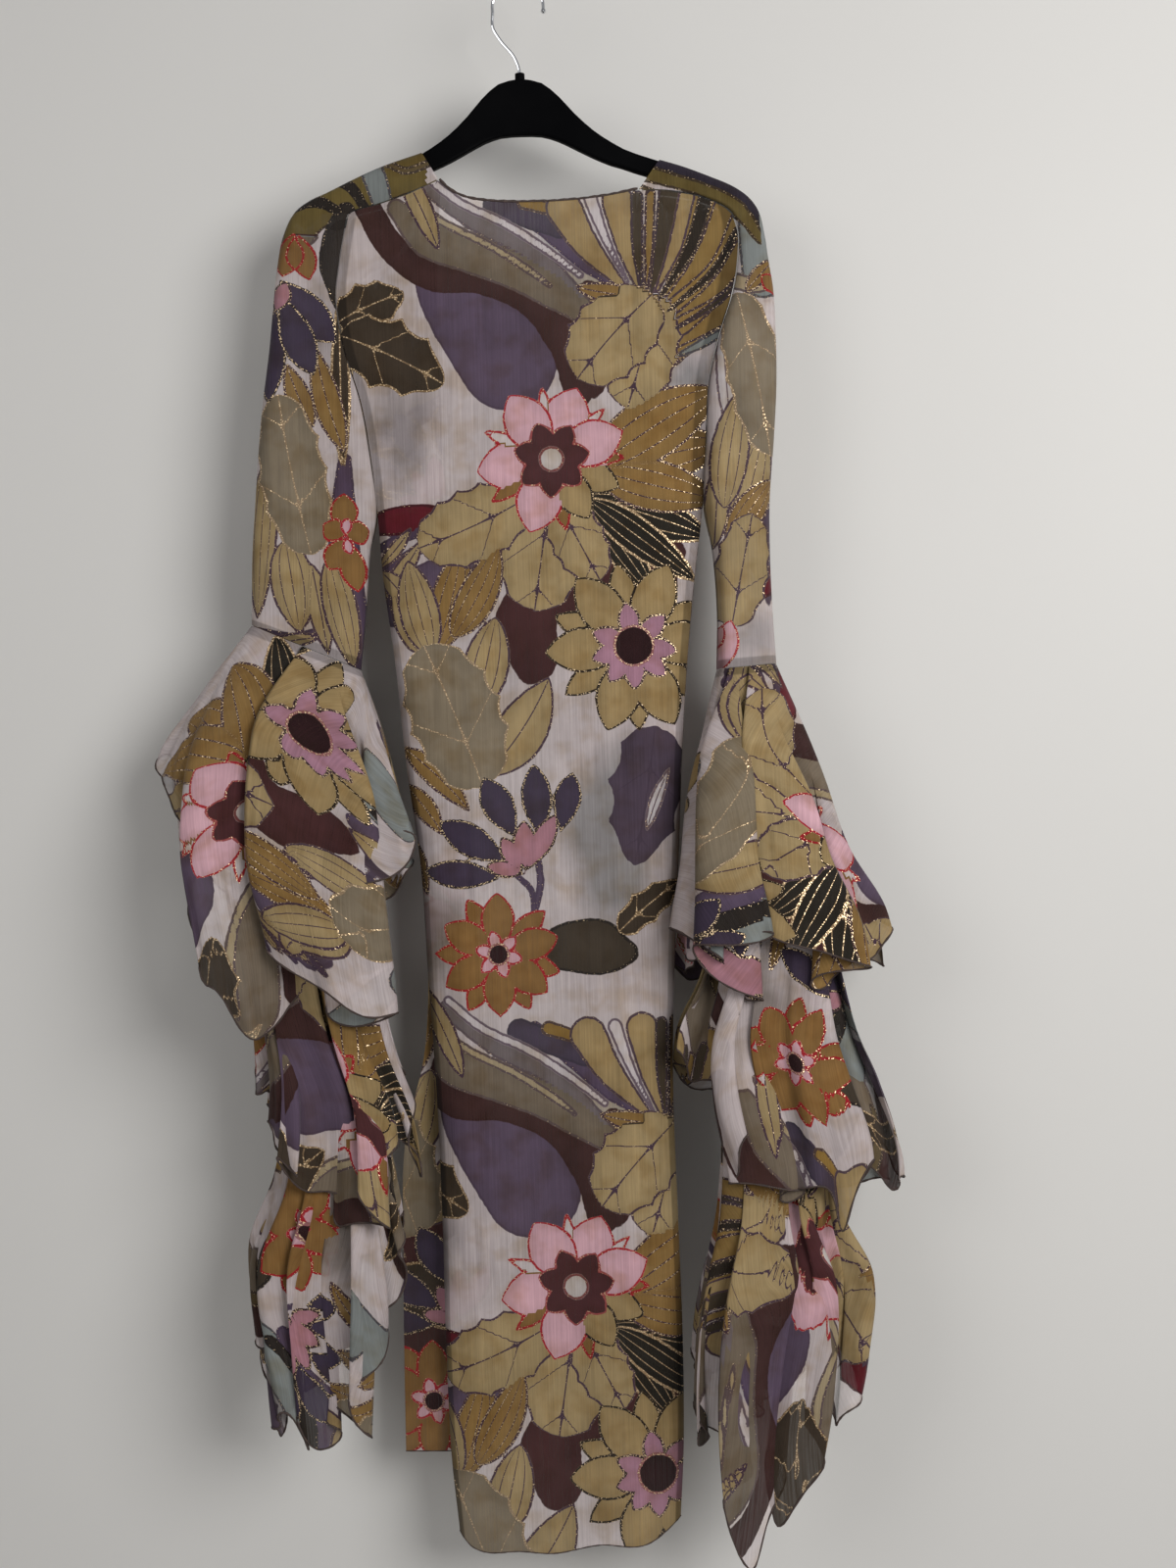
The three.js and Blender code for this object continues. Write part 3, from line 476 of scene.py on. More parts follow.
# Columns: layer, ink, shape, x and y of the base, angle, length, width, bend
LEAVES = [
    (7, "beige_leaf", "scalloped", 121, -309, -133, 107, 87, -0.1),
    (6, "beige_leaf", "scalloped", 124, -309, -105, 112, 77, 0.05),
    (6, "ochre_leaf", "veined", 62, -475, 31, 143, 62, 0.1),
    (5, "ochre_leaf", "veined", 62, -475, 10, 129, 57, 0),
    (6, "ochre_leaf", "veined", 62, -477, -14, 123, 51, -0.06),
    (5, "dark_fan", "veined", 54, -503, -19, 124, 45, 0.05),
    (6, "dark_fan", "veined", 54, -505, -38, 131, 36, 0),
    (5, "dark_fan", "veined", 56, -507, -57, 109, 34, 0),
    (6, "beige_leaf", "scalloped", -7, -503, -157, 112, 79, 0.1),
    (5, "beige_leaf", "scalloped", 16, -506, -99, 105, 91, 0),
    (7, "beige_leaf", "scalloped", 24, -506, -63, 86, 59, 0),
    (6, "black_leaf", "lobed", -182, -326, 22, 69, 55, 0.15),
    (7, "black_leaf", "lobed", -181, -339, -27, 111, 79, 0.12),
    (5, "olive_leaf", "plain", -179, -300, -89, 113, 21, 0),
    (7, "ochre_leaf", "plain", 112, -310, 170, 67, 21, 0.12),
    (5, "beige_leaf", "veined", -109, -650, 109, 79, 36, -0.05),
    (6, "beige_leaf", "veined", -102, -650, 102, 94, 40, 0.05),
    (5, "ochre_leaf", "veined", -96, -646, 75, 101, 42, -0.12),
    (6, "ochre_leaf", "veined", -80, -634, 62, 99, 38, -0.15),
    (5, "beige_leaf", "plain", -119, -604, 129, 50, 23, -0.1),
    (4, "beige_leaf", "plain", -152, -596, 52, 75, 19, -0.15),
    (4, "beige_leaf", "plain", -152, -565, 48, 52, 15, -0.15),
    (6, "beige_leaf", "veined", -58, -702, 77, 89, 45, 0),
    (7, "olive_leaf", "scalloped", -56, -778, 111, 146, 98, -0.06),
    (5, "beige_leaf", "plain", -54, -769, 55, 115, 51, -0.2),
    (5, "ochre_leaf", "plain", -133, -738, -45, 92, 25, 0.15),
    (5, "ochre_leaf", "plain", -133, -774, -53, 63, 23, 0.15),
    (5, "ochre_leaf", "plain", -131, -821, -73, 65, 17, 0.1),
    (4, "purple_leaf", "lobed", 112, -726, -100, 134, 83, 0.05),
    (5, "white_leaf", "plain", 101, -826, 68, 66, 13, 0.1),
    (7, "black_leaf", "lobed", 72, -922, 38, 76, 38, 0.1),
    (6, "beige_leaf", "plain", -83, -1059, 114, 107, 23, -0.1),
    (8, "purple_petal", "petal", -39, -867, 174, 77, 28, 0),
    (8, "purple_petal", "petal", -34, -852, 148, 76, 32, 0),
    (8, "purple_petal", "petal", -25, -829, 117, 66, 32, 0),
    (8, "purple_petal", "petal", -2, -830, 93, 72, 30, 0),
    (8, "purple_petal", "petal", 18, -825, 77, 59, 27, 0),
    (9, "pink_dark", "petal", -17, -864, 166, 39, 17, 0),
    (9, "pink_dark", "petal", -20, -862, 119, 39, 20, 0),
    (9, "pink_dark", "petal", -17, -862, 90, 50, 23, 0),
    (9, "pink_dark", "petal", -17, -862, 60, 63, 23, 0),
]

# Columns: layer, ink, width along it, points
RIBBONS = [
    (2, "plum", (25, 28, 32, 34, 42, 28),
     [(-153, -211), (-129, -254), (-91, -283), (-43, -287), (8, -310), (38, -349), (48, -401)]),
    (3, "olive", (19, 40, 38, 36, 36, 24),
     [(-123, -217), (-92, -247), (-52, -264), (-10, -282), (26, -302), (59, -326)]),
    (1, "purple", (44, 64, 82, 92, 94),
     [(-86, -281), (-72, -302), (-51, -327), (-31, -352), (-19, -370)]),
    (4, "fan_ochre", (50, 84, 60, 20), [(192, -209), (182, -264), (161, -323), (139, -369)]),
    (5, "fan_beige", (36, 26, 5), [(39, -222), (61, -261), (102, -309)]),
    (6, "white_band", (15, 9, 3), [(65, -214), (80, -257), (105, -309)]),
    (5, "fan_beige", (32, 22, 5), [(91, -217), (99, -262), (111, -309)]),
    (6, "fan_dark", (13, 12, 4), [(110, -213), (109, -262), (112, -309)]),
    (7, "fan_ochre", (11, 10, 4), [(123, -211), (120, -262), (116, -309)]),
    (5, "fan_dark", (22, 18, 5), [(141, -212), (133, -263), (120, -310)]),
    (6, "fan_beige", (17, 15, 4), [(158, -214), (145, -263), (124, -310)]),
    (7, "fan_black", (15, 13, 4), [(176, -218), (159, -266), (129, -312)]),
    (6, "fan_ochre", (22, 20, 5), [(195, -224), (172, -274), (134, -316)]),
    (7, "fan_black", (7, 9, 4), [(208, -244), (182, -287), (138, -324)]),
    (6, "fan_ochre", (20, 17, 5), [(212, -265), (185, -302), (140, -333)]),
    (7, "fan_dark", (7, 8, 4), [(213, -288), (185, -317), (144, -342)]),
    (5, "fan_ochre", (22, 20, 6), [(213, -305), (182, -334), (139, -361)]),
    (6, "blue_band", (8, 10, 5), [(188, -347), (169, -357), (143, -369)]),
    (4, "cream", (9, 9, 9, 9, 6), [(-118, -196), (-83, -229), (-33, -257), (4, -282), (24, -298)]),
    (3, "grey_band", (17, 19, 17, 11), [(-97, -193), (-51, -230), (-5, -256), (23, -277), (52, -307)]),
    (4, "white_band", (10, 10, 10, 8), [(-95, -185), (-62, -213), (-18, -236), (23, -264), (53, -288)]),
    (2, "violet", (15, 19, 19, 9), [(-13, -215), (24, -244), (61, -277), (105, -308)]),
    (3, "navy", (25, 23, 13), [(-27, -217), (10, -232), (35, -246)]),
    (4, "ochre_stripe", (15, 13), [(1, -215), (26, -223)]),
    (2, "purple_band", (9, 11, 9), [(-151, -546), (-117, -533), (-88, -525)]),
    (2, "purple_band", (9, 11, 11), [(-152, -575), (-127, -557), (-102, -544)]),
    (2, "purple_band", (11, 15, 9), [(-153, -605), (-141, -590), (-128, -575)]),
    (4, "violet", (6, 6, 6), [(-25, -866), (-12, -880), (-9, -902)]),
    (3, "violet", (7, 7, 7), [(-4, -853), (-3, -876), (-11, -906)]),
]

# Columns: layer, ink, x, y, half width, half height, turn, waviness
BLOBS = [
    (2, "burgundy", -124, -519, 44, 14, 6, 0),
    (1, "dark_ground", 99, -568, 49, 38, 0, 0.1),
    (1, "dark_ground", -6, -626, 30, 55, 0, 0.08),
    (1, "dark_ground", 42, -590, 57, 17, 20, 0.1),
    (1, "purple", -100, -590, 57, 34, 20, 0.1),
    (1, "plum", 59, -349, 25, 57, 0, 0.05),
    (3, "bean", 41, -937, 47, 27, -4, 0.06),
    (0, "blue_wash", 71, -827, 43, 87, -8, 0.1),
    (0, "blue_wash", 157, -390, 28, 17, 0, 0.1),
    (0, "blue_wash", 178, -301, 19, 47, 10, 0.1),
    (0, "olive_wash", -113, -921, 32, 43, 0, 0.1),
    (0, "grey_wash", -123, -434, 25, 43, 0, 0.2),
    (0, "blue_wash", 38, -1044, 21, 21, 0, 0.1),
    (0, "cream_wash", 60, -307, 57, 38, 0, 0.1),
]

# Prints of the sleeves, placed as they lie on the arm seen from behind
SLEEVE_PRINTS = {
    "left": {
        "tile": (140, 799),
        "leaves": [
            (7, "ochre_petal", "petal", -222, -238, -106, 45, 28, 0),
            (8, "ochre_petal", "petal", -218, -240, -78, 47, 25, 0),
            (9, "ochre_petal", "petal", -222, -242, -89, 34, 19, 0),
            (8, "purple_petal", "petal", -238, -283, -50, 83, 38, -0.1),
            (9, "purple_petal", "petal", -237, -298, -69, 86, 34, -0.05),
            (8, "purple_petal", "petal", -243, -307, -95, 97, 30, 0),
            (10, "pink_dark", "petal", -243, -315, 66, 31, 21, 0),
            (5, "ochre_leaf", "plain", -208, -429, 111, 68, 25, 0.1),
            (6, "ochre_leaf", "plain", -179, -453, 104, 108, 28, 0.1),
            (5, "black_leaf", "plain", -181, -470, 90, 170, 19, 0),
            (7, "olive_leaf", "scalloped", -214, -550, 100, 156, 72, 0.06),
            (6, "beige_leaf", "veined", -238, -536, -83, 90, 43, 0),
            (7, "beige_leaf", "veined", -197, -554, -79, 109, 34, 0),
            (5, "beige_leaf", "veined", -255, -458, -95, 153, 32, 0),
            (6, "beige_leaf", "plain", -214, -559, -81, 90, 25, 0),
            (8, "ochre_petal", "petal", -181, -534, 91, 42, 28, 0),
            (8, "ochre_petal", "petal", -181, -534, -117, 36, 25, 0),
            (8, "ochre_petal", "petal", -181, -534, -78, 55, 26, 0),
            (9, "ochre_petal", "petal", -181, -534, 17, 24, 25, 0),
            (9, "ochre_petal", "petal", -181, -534, 150, 24, 25, 0),
            (10, "pink", "petal", -181, -534, 83, 19, 12, 0),
            (10, "pink", "petal", -181, -534, -73, 18, 12, 0),
            (6, "beige_leaf", "plain", -262, -638, 8, 57, 15, 0.1),
            (5, "beige_leaf", "plain", -271, -675, 15, 77, 21, 0.1),
        ],
        "ribbons": [
            (1, "saddle", (47, 47, 47, 49, 43, 28),
             [(-59, -161), (-102, -177), (-154, -193), (-197, -209), (-223, -234), (-241, -262)]),
            (3, "black_band", (8, 11, 12, 9), [(-244, -224), (-225, -213), (-200, -208), (-179, -218)]),
            (4, "blue_band", (23, 23, 19), [(-151, -166), (-141, -193), (-134, -222)]),
            (3, "black_band", (9, 11, 9), [(-184, -186), (-166, -196), (-153, -217)]),
            (4, "olive_stripe", (8, 8, 8), [(-129, -174), (-111, -181), (-78, -170)]),
            (2, "black_band", (19, 23, 23, 13), [(-172, -219), (-182, -241), (-187, -271), (-180, -309)]),
            (2, "purple_band", (13, 25, 32, 28, 28),
             [(-179, -460), (-182, -508), (-182, -555), (-176, -612), (-166, -669)]),
            (2, "purple_band", (11, 13, 11), [(-269, -624), (-233, -631), (-190, -621)]),
        ],
        "blobs": [
            (1, "olive", -222, -240, 23, 15, 0, 0.1),
            (0, "grey_wash", -196, -328, 15, 38, 0, 0.1),
        ],
    },
    "right": {
        "tile": (120, 799),
        "leaves": [
            (7, "olive_leaf", "scalloped", 203, -311, -80, 160, 62, 0.04),
            (5, "white_leaf", "plain", 193, -453, 93, 123, 19, 0),
            (6, "beige_leaf", "veined", 184, -519, 80, 117, 38, 0.08),
            (5, "beige_leaf", "veined", 197, -538, 74, 98, 38, -0.08),
            (6, "ochre_leaf", "veined", 187, -556, 55, 79, 32, 0.1),
            (7, "beige_leaf", "scalloped", 188, -632, 78, 108, 59, 0),
            (5, "beige_leaf", "plain", 174, -556, 86, 85, 25, 0),
            (8, "ochre_petal", "petal", 249, -312, 141, 28, 19, 0),
            (8, "pink", "petal", 172, -679, 74, 55, 28, 0),
            (9, "pink", "petal", 159, -658, 50, 34, 19, 0),
            (6, "ochre_leaf", "plain", 211, -311, 46, 49, 17, 0.1),
        ],
        "ribbons": [
            (2, "navy_band", (23, 21, 19, 15, 11),
             [(102, -162), (136, -177), (169, -191), (203, -209), (230, -240)]),
            (3, "saddle", (19, 15, 14, 17, 11),
             [(101, -185), (137, -196), (172, -208), (206, -228), (228, -259)]),
            (1, "blue_band", (43, 43, 38), [(228, -231), (228, -260), (228, -298)]),
            (4, "olive_stripe", (6, 6, 6), [(115, -204), (157, -221), (199, -241)]),
            (3, "black_band", (15, 13, 11), [(191, -275), (193, -311), (193, -337)]),
            (3, "burgundy", (13, 19, 9), [(241, -567), (225, -592), (212, -606)]),
            (2, "cream", (15, 17, 15), [(195, -294), (219, -304), (249, -295)]),
        ],
        "blobs": [
            (0, "grey_wash", 206, -642, 23, 19, 0, 0.1),
            (1, "purple", 225, -558, 13, 47, 0, 0.1),
        ],
    },
}

# Rings of petals, and a disc where there are no angles. Columns: layer, ink, angles, reach, width
PINK_LOTUS = [
    (8, "white_petal", (96, 42, 156), 72, 15),
    (8, "ochre_petal", (0, -80, -146), 72, 18),
    (9, "pink", (122, 20, -108), 74, 46),
    (8, "pink", (69, -172), 73, 48),
    (9, "beige_petal", (-59,), 68, 36),
    (8, "beige_petal", (-24,), 71, 34),
    (10, "plum_petal", (112, 58, 8, -42, -92, -142, 164), 38, 25),
    (11, "button", (), 12.5, 0),
]
BEIGE_FLOWER = [
    (8, "beige_petal", (100, 30, 158, -146, -38, -88), 82, 30),
    (9, "beige_petal", (129, 65, 2, -64, -109, 183), 86, 44),
    (10, "lilac_petal", (99, 43, -8, -45, -90, -126, 197, 160), 43, 22),
    (11, "disc", (), 20, 0),
]
OCHRE_FLOWER = [
    (8, "ochre_petal", (118, 178, -120, -62, -18, 42), 62, 24),
    (9, "ochre_petal", (90, 150, -150, -90, -40, 15), 60, 33),
    (10, "pink", (45, 105, 165, -135, -75, -15), 24, 14),
    (11, "disc", (), 11, 0),
]
FLOWERS = [(PINK_LOTUS, 20, -465), (BEIGE_FLOWER, 94, -647), (OCHRE_FLOWER, -45, -941)]
BODY_PRINT = {"tile": TILE, "leaves": LEAVES, "ribbons": RIBBONS, "blobs": BLOBS, "flowers": FLOWERS}


# The flounces are cut across the striped parts of the repeat, and show more bands and less bare ground
BANDS = [
    (1, "olive", (64, 54, 44), [(-158, -400), (-96, -428), (-44, -505)]),
    (2, "plum", (30, 36, 26), [(-160, -452), (-96, -472), (-52, -545)]),
    (3, "cream", (10, 12, 10), [(-156, -384), (-92, -404), (-34, -470)]),
    (1, "blue_band", (54, 64, 44), [(66, -700), (30, -784), (50, -872)]),
    (2, "violet", (26, 34, 24), [(22, -688), (-8, -780), (18, -866)]),
    (3, "black_band", (14, 20, 12), [(48, -700), (12, -782), (36, -868)]),
    (1, "olive", (50, 56, 44), [(62, -884), (112, -962), (176, -1012)]),
    (2, "plum", (22, 30, 20), [(92, -852), (138, -934), (196, -972)]),
    (3, "olive_stripe", (12, 14, 10), [(86, -880), (128, -950), (186, -992)]),
    (1, "blue_band", (50, 54, 40), [(-160, -690), (-176, -780), (-150, -880)]),
]
FLOUNCE_PRINT = {**BODY_PRINT, "ribbons": RIBBONS + BANDS}


def layer_inks():
    """The inks that each layer uses, in any of the prints."""
    used = [[] for _ in range(LAYERS)]
    for design in (FLOUNCE_PRINT, *SLEEVE_PRINTS.values()):
        marks = [*design["leaves"], *design["ribbons"], *design["blobs"]]
        marks += [ring for rings, *_ in design.get("flowers", ()) for ring in rings]
        for layer, ink, *_ in marks:
            if ink not in used[layer]:
                used[layer].append(ink)
    return used


LAYER_INKS = layer_inks()


# Width over which a middle vein's coordinate rises by 1, and the number and lean of the ribs that branch off
VEIN_SPREAD = 13
RIBS = 2
RIB_LEAN = 0.9


def leaf_field(x, y, shape, angle, length, width, bend):
    """Signed distance to a leaf growing from the origin, and a coordinate that is whole on its veins."""
    base, tip, teeth, depth, veins = shape
    turn = math.radians(angle)
    along = x * math.cos(turn) + y * math.sin(turn)
    share = np.clip(along / length, 0, 1)
    across = -x * math.sin(turn) + y * math.cos(turn) - bend * length * share * (1 - share)
    widest = base / (base + tip)
    full = widest**base * (1 - widest) ** tip
    half = width / 2 * share**base * (1 - share) ** tip / full
    if teeth:
        half = half * (1 - depth * np.abs(np.cos(np.pi * teeth * share)) ** 0.6 * ease(0, 0.15, share))
    beyond = np.maximum(along - length, -along)
    side = np.abs(across) - half
    distance = np.where(beyond > 0, np.hypot(np.maximum(beyond, 0), np.maximum(side, 0)), side)
    if veins == 0:
        vein = np.full_like(x, 0.5)
    elif veins == 1:
        vein = np.clip(across / VEIN_SPREAD, -0.5, 0.5)
        if teeth:
            ribs = np.sin(np.pi * (0.4 + RIBS * (along - RIB_LEAN * np.abs(across)) / length))
            vein = vein * np.sign(ribs) * np.sqrt(np.abs(ribs))
    else:
        vein = across / np.maximum(half, 3) * veins / 2
    return distance, vein


def ribbon_field(x, y, widths, points):
    """Signed distance to a ribbon of changing width along a smooth line."""
    places = np.linspace(0, 1, len(points))
    fine = np.linspace(0, 1, 40)
    line = smooth(places, points, fine)
    half = np.interp(fine, np.linspace(0, 1, len(widths)), widths) / 2
    best = np.full(x.shape, 1e9)
    for a, b, wide_a, wide_b in zip(line[:-1], line[1:], half[:-1], half[1:]):
        step = b - a
        share = np.clip(((x - a[0]) * step[0] + (y - a[1]) * step[1]) / (step @ step), 0, 1)
        gap = np.hypot(x - a[0] - share * step[0], y - a[1] - share * step[1]) - mix(wide_a, wide_b, share)
        best = np.minimum(best, gap)
    return best, np.full_like(x, 0.5)


def blob_field(x, y, wide, high, angle, waviness):
    """Signed distance to a rounded patch, roughly."""
    turn = math.radians(angle)
    along = (x * math.cos(turn) + y * math.sin(turn)) / wide
    across = (-x * math.sin(turn) + y * math.cos(turn)) / high
    round_it = np.arctan2(across, along)
    edge = 1 + waviness * (np.sin(3 * round_it + wide) + 0.6 * np.sin(5 * round_it + high))
    return (np.hypot(along, across) - edge) * min(wide, high), np.full_like(x, 0.5)


def print_fields(flat, design):
    """Distance to each layer's nearest motif, its vein coordinate and its ink, at flat points (N, 2)."""
    tile = np.array(design["tile"], float)
    fields = np.zeros((LAYERS, len(flat), 3), np.float32)
    fields[:, :, 0] = FAR
    fields[:, :, 1] = 0.5

    def draw(layer, ink, at, reach, field):
        near = (flat - np.array(at) + tile / 2) % tile - tile / 2
        found = np.flatnonzero((np.abs(near) < reach + FAR / 2).all(1))
        if not len(found):
            return
        distance, vein = field(near[found, 0], near[found, 1])
        closer = distance < fields[layer, found, 0]
        picked = found[closer]
        fields[layer, picked, 0] = distance[closer]
        fields[layer, picked, 1] = vein[closer]
        fields[layer, picked, 2] = (LAYER_INKS[layer].index(ink) + 0.5) / len(LAYER_INKS[layer])

    for layer, ink, x, y, *form in design["blobs"]:
        draw(layer, ink, (x, y), max(form[:2]) * 1.2, lambda u, v: blob_field(u, v, *form))
    for layer, ink, widths, points in design["ribbons"]:
        start = np.array(points, float)
        middle = start.mean(0)
        local = [tuple(p - middle) for p in start]
        reach = np.abs(start - middle).max() + max(widths)
        draw(layer, ink, middle, reach, lambda u, v: ribbon_field(u, v, widths, local))
    for layer, ink, shape, x, y, *form in design["leaves"]:
        draw(layer, ink, (x, y), form[1], lambda u, v: leaf_field(u, v, LEAF_SHAPES[shape], *form))
    for rings, x, y in design.get("flowers", ()):
        for layer, ink, angles, reach, width in rings:
            if not angles:
                draw(layer, ink, (x, y), reach, lambda u, v: (np.hypot(u, v) - reach, np.full_like(u, 0.5)))
            for angle in angles:
                form = (LEAF_SHAPES["petal"], angle, reach, width, 0)
                draw(layer, ink, (x, y), reach, lambda u, v: leaf_field(u, v, *form))
    return fields


# Shader maths


def operator(operation):
    """A Python operator that adds a Math node."""
    return lambda value, other: value.math(operation, other)


class Value:
    """A socket whose operators add Math nodes."""

    __add__ = __radd__ = operator("ADD")
    __sub__ = operator("SUBTRACT")
    __mul__ = __rmul__ = operator("MULTIPLY")
    __gt__ = operator("GREATER_THAN")

    def __init__(self, finish, socket):
        self.finish, self.socket = finish, socket

    def math(self, operation, *others, clamp=False):
        settings = {"operation": operation, "use_clamp": clamp}
        node = self.finish.add("ShaderNodeMath", settings, self, *others)
        return Value(self.finish, node.outputs[0])

    def __rsub__(self, other):
        return self * -1 + other

    def __abs__(self):
        return self.math("ABSOLUTE")

    def clamped(self):
        return self.math("ADD", 0, clamp=True)

    def between(self, low, high):
        """0 below low to 1 above high."""
        node = self.finish.add("ShaderNodeMapRange", {"clamp": True}, self, low, high, 0, 1)
        return Value(self.finish, node.outputs[0])


class Finish:
    """A material built from plain lines of shader maths."""

    def __init__(self, name):
        self.material = bpy.data.materials.new(name)
        self.material.use_nodes = True
        self.tree = self.material.node_tree
        self.shader = self.tree.nodes["Principled BSDF"]

    def add(self, kind, settings=None, *inputs, **named):
        node = self.tree.nodes.new(kind)
        for key, value in (settings or {}).items():
            if key == "stops":
                ramp = node.color_ramp
                ramp.interpolation = "CONSTANT"
                while len(ramp.elements) < len(value):
                    ramp.elements.new(0.5)
                for element, (place, tint) in zip(ramp.elements, value):
                    element.position, element.color = place, tint
            else:
                setattr(node, key, value)
        for key, value in [*enumerate(inputs), *named.items()]:
            self.put(node.inputs[key], value)
        return node

    def put(self, socket, value):
        if isinstance(value, Value):
            value = value.socket
        if isinstance(value, bpy.types.NodeSocket):
            self.tree.links.new(value, socket)
        else:
            socket.default_value = value

    def value(self, kind, settings=None, *inputs, **named):
        return Value(self, self.add(kind, settings, *inputs, **named).outputs[0])

    def noise(self, place, scale, detail, **more):
        return self.value("ShaderNodeTexNoise", None, Vector=place, Scale=scale, Detail=detail, **more)

    def stretched(self, place, across, down):
        return self.add("ShaderNodeMapping", None, place, Scale=(across, down, 1.0)).outputs[0]

    def colours(self, share, first, second, blend="MIX"):
        """Mix of two colours."""
        node = self.add("ShaderNodeMix", {"data_type": "RGBA", "blend_type": blend})
        self.put(node.inputs[0], share)
        self.put(node.inputs[6], first)
        self.put(node.inputs[7], second)
        return Value(self, node.outputs[2])

    def set(self, **values):
        """Sets inputs of the shader by their names in small letters."""
        for key, value in values.items():
            self.put(self.shader.inputs[key.replace("_", " ").title().replace("Ior", "IOR")], value)

    def bumped(self, strength, distance, height):
        """Adds a bump and returns the finished material."""
        bump = self.value("ShaderNodeBump", None, Strength=strength, Distance=distance, Height=height)
        self.set(normal=bump)
        return self.material


def colour(red, green, blue, alpha=1.0):
    """Display colour in 0 to 255 as a linear one."""
    made = []
    for part in (red, green, blue):
        share = part / 255
        made.append(share / 12.92 if share <= 0.04045 else ((share + 0.055) / 1.055) ** 2.4)
    return (*made, alpha)


GROUND = colour(200, 187, 186)
WARM = colour(214, 196, 160)
YARN = colour(226, 198, 158)
GROUND_ALPHA = 0.64

# Layer 0 holds soft washes of dye, and the layers above it hold crisp motifs. Softness is in millimetres
WASH_ALPHA, WASH_STRENGTH, WASH_SOFTNESS = 0.72, 0.75, 12.0
PRINT_ALPHA, PRINT_SOFTNESS = 0.94, 0.35
WOBBLE = 2.2

# Signed distances at which the outline starts and is full, and the veins likewise
OUTLINE = (-2.5, -2.1)
VEIN_INSET = (-2.5, -3.5)
VEIN_WIDTH = (0.06, 0.035)

# Usual width of a turned seam, distances at which it starts and is full, how much darker and denser it is.
# The darkening is doubled cloth at the seams. Along the back's right armhole the band is wider and is also
# painted shade in the gap beside the sleeve
SEAM_WIDTH = 7
SEAM_REACH = (8.0, 6.5)
SEAM_SHADE = 0.5
SEAM_ALPHA = 0.15


def ink_stops(inks, line):
    """Stops of a ramp that turns an ink's number into its colour, or into its line's colour and glitter."""
    stops = []
    for index, name in enumerate(inks):
        fill, outline, glitter = INKS[name]
        chosen = colour(*outline, glitter) if line else colour(*fill, 1)
        stops.append((index / len(inks), chosen))
    return stops


def chiffon(name):
    """Printed crinkle chiffon: crisp motifs with glittering outlines on a sheer ground."""
    cloth = Finish(name)
    flat = cloth.add("ShaderNodeUVMap", {"uv_map": "cloth"}).outputs[0]
    base, opaque, glitter = GROUND, GROUND_ALPHA, 0.0
    wobble = (cloth.noise(flat, 150.0, 2.0) - 0.5) * WOBBLE
    for layer, inks in enumerate(LAYER_INKS):
        field = cloth.add("ShaderNodeAttribute", {"attribute_name": f"print_{layer}"}).outputs["Vector"]
        parts = cloth.add("ShaderNodeSeparateXYZ", None, field)
        distance, vein, ink = (Value(cloth, socket) for socket in parts.outputs)
        distance = distance + wobble
        soft = WASH_SOFTNESS if layer == 0 else PRINT_SOFTNESS
        fill = distance.between(soft, -soft)
        if layer == 0:
            fill = fill * WASH_STRENGTH
        filled = cloth.add("ShaderNodeValToRGB", {"stops": ink_stops(inks, False)}, ink)
        body = 0.9 + distance.between(-2.0, -16.0) * 0.16
        shaded = cloth.value("ShaderNodeVectorMath", {"operation": "SCALE"}, filled.outputs[0], Scale=body)
        base = cloth.colours(fill, base, shaded)
        opaque = mix(opaque, WASH_ALPHA if layer == 0 else PRINT_ALPHA, fill)
        if layer == 0:
            continue
        lined = cloth.add("ShaderNodeValToRGB", {"stops": ink_stops(inks, True)}, ink)
        strength = Value(cloth, lined.outputs[1])
        edge = distance.between(*OUTLINE) * fill
        off_line = abs(vein - vein.math("ROUND"))
        veins = off_line.between(*VEIN_WIDTH) * distance.between(*VEIN_INSET)
        line = edge.math("MAXIMUM", veins)
        base = cloth.colours(line, base, lined.outputs[0])
        glitter = mix(glitter, 0.0, fill) + line * strength
    # Crinkle along the grain, and uneven dye
    crinkle = cloth.noise(cloth.stretched(flat, 620.0, 11.0), 1.0, 4.0, Roughness=0.65)
    bands = cloth.noise(cloth.stretched(flat, 70.0, 3.5), 1.0, 2.0)
    pools = cloth.noise(flat, 22.0, 3.0)
    streak = (crinkle - 0.5) * 0.5 + (bands - 0.5) * 0.35 + (pools - 0.5) * 0.5 + 1.0
    warm = cloth.noise(flat, 38.0, 2.0)
    base = cloth.colours(warm.between(0.46, 0.68) * 0.5, base, WARM, "MULTIPLY")
    # Turned seam allowances lie doubled and look darker. Along the back's right armhole the band is wider
    # and is painted shade in the gap beside the sleeve
    seam = Value(cloth, cloth.add("ShaderNodeAttribute", {"attribute_name": "seam"}).outputs["Fac"])
    doubled_and_painted_shade = seam.between(*SEAM_REACH)
    streak = streak * (1.0 - doubled_and_painted_shade * SEAM_SHADE)
    grey = cloth.value("ShaderNodeCombineXYZ", None, streak, streak, streak)
    base = cloth.colours(1.0, base, grey, "MULTIPLY")
    # Metallic yarn in the outlines
    specks = cloth.noise(flat, 620.0, 1.0)
    sparse = 0.7 - glitter * 0.17
    bright = (specks - sparse).between(0.0, 0.03) * (glitter > 0.05)
    base = cloth.colours(bright, base, YARN)
    cloth.set(
        base_color=base,
        roughness=0.8 - bright * 0.45,
        metallic=bright * 0.6,
        alpha=(opaque + (crinkle - 0.5) * 0.3 + doubled_and_painted_shade * SEAM_ALPHA).clamped(),
        specular_ior_level=0.15,
        sheen_weight=0.12,
        sheen_roughness=0.4,
    )
    return cloth.bumped(0.4, 0.0006, crinkle * 0.7 + bands * 0.3)


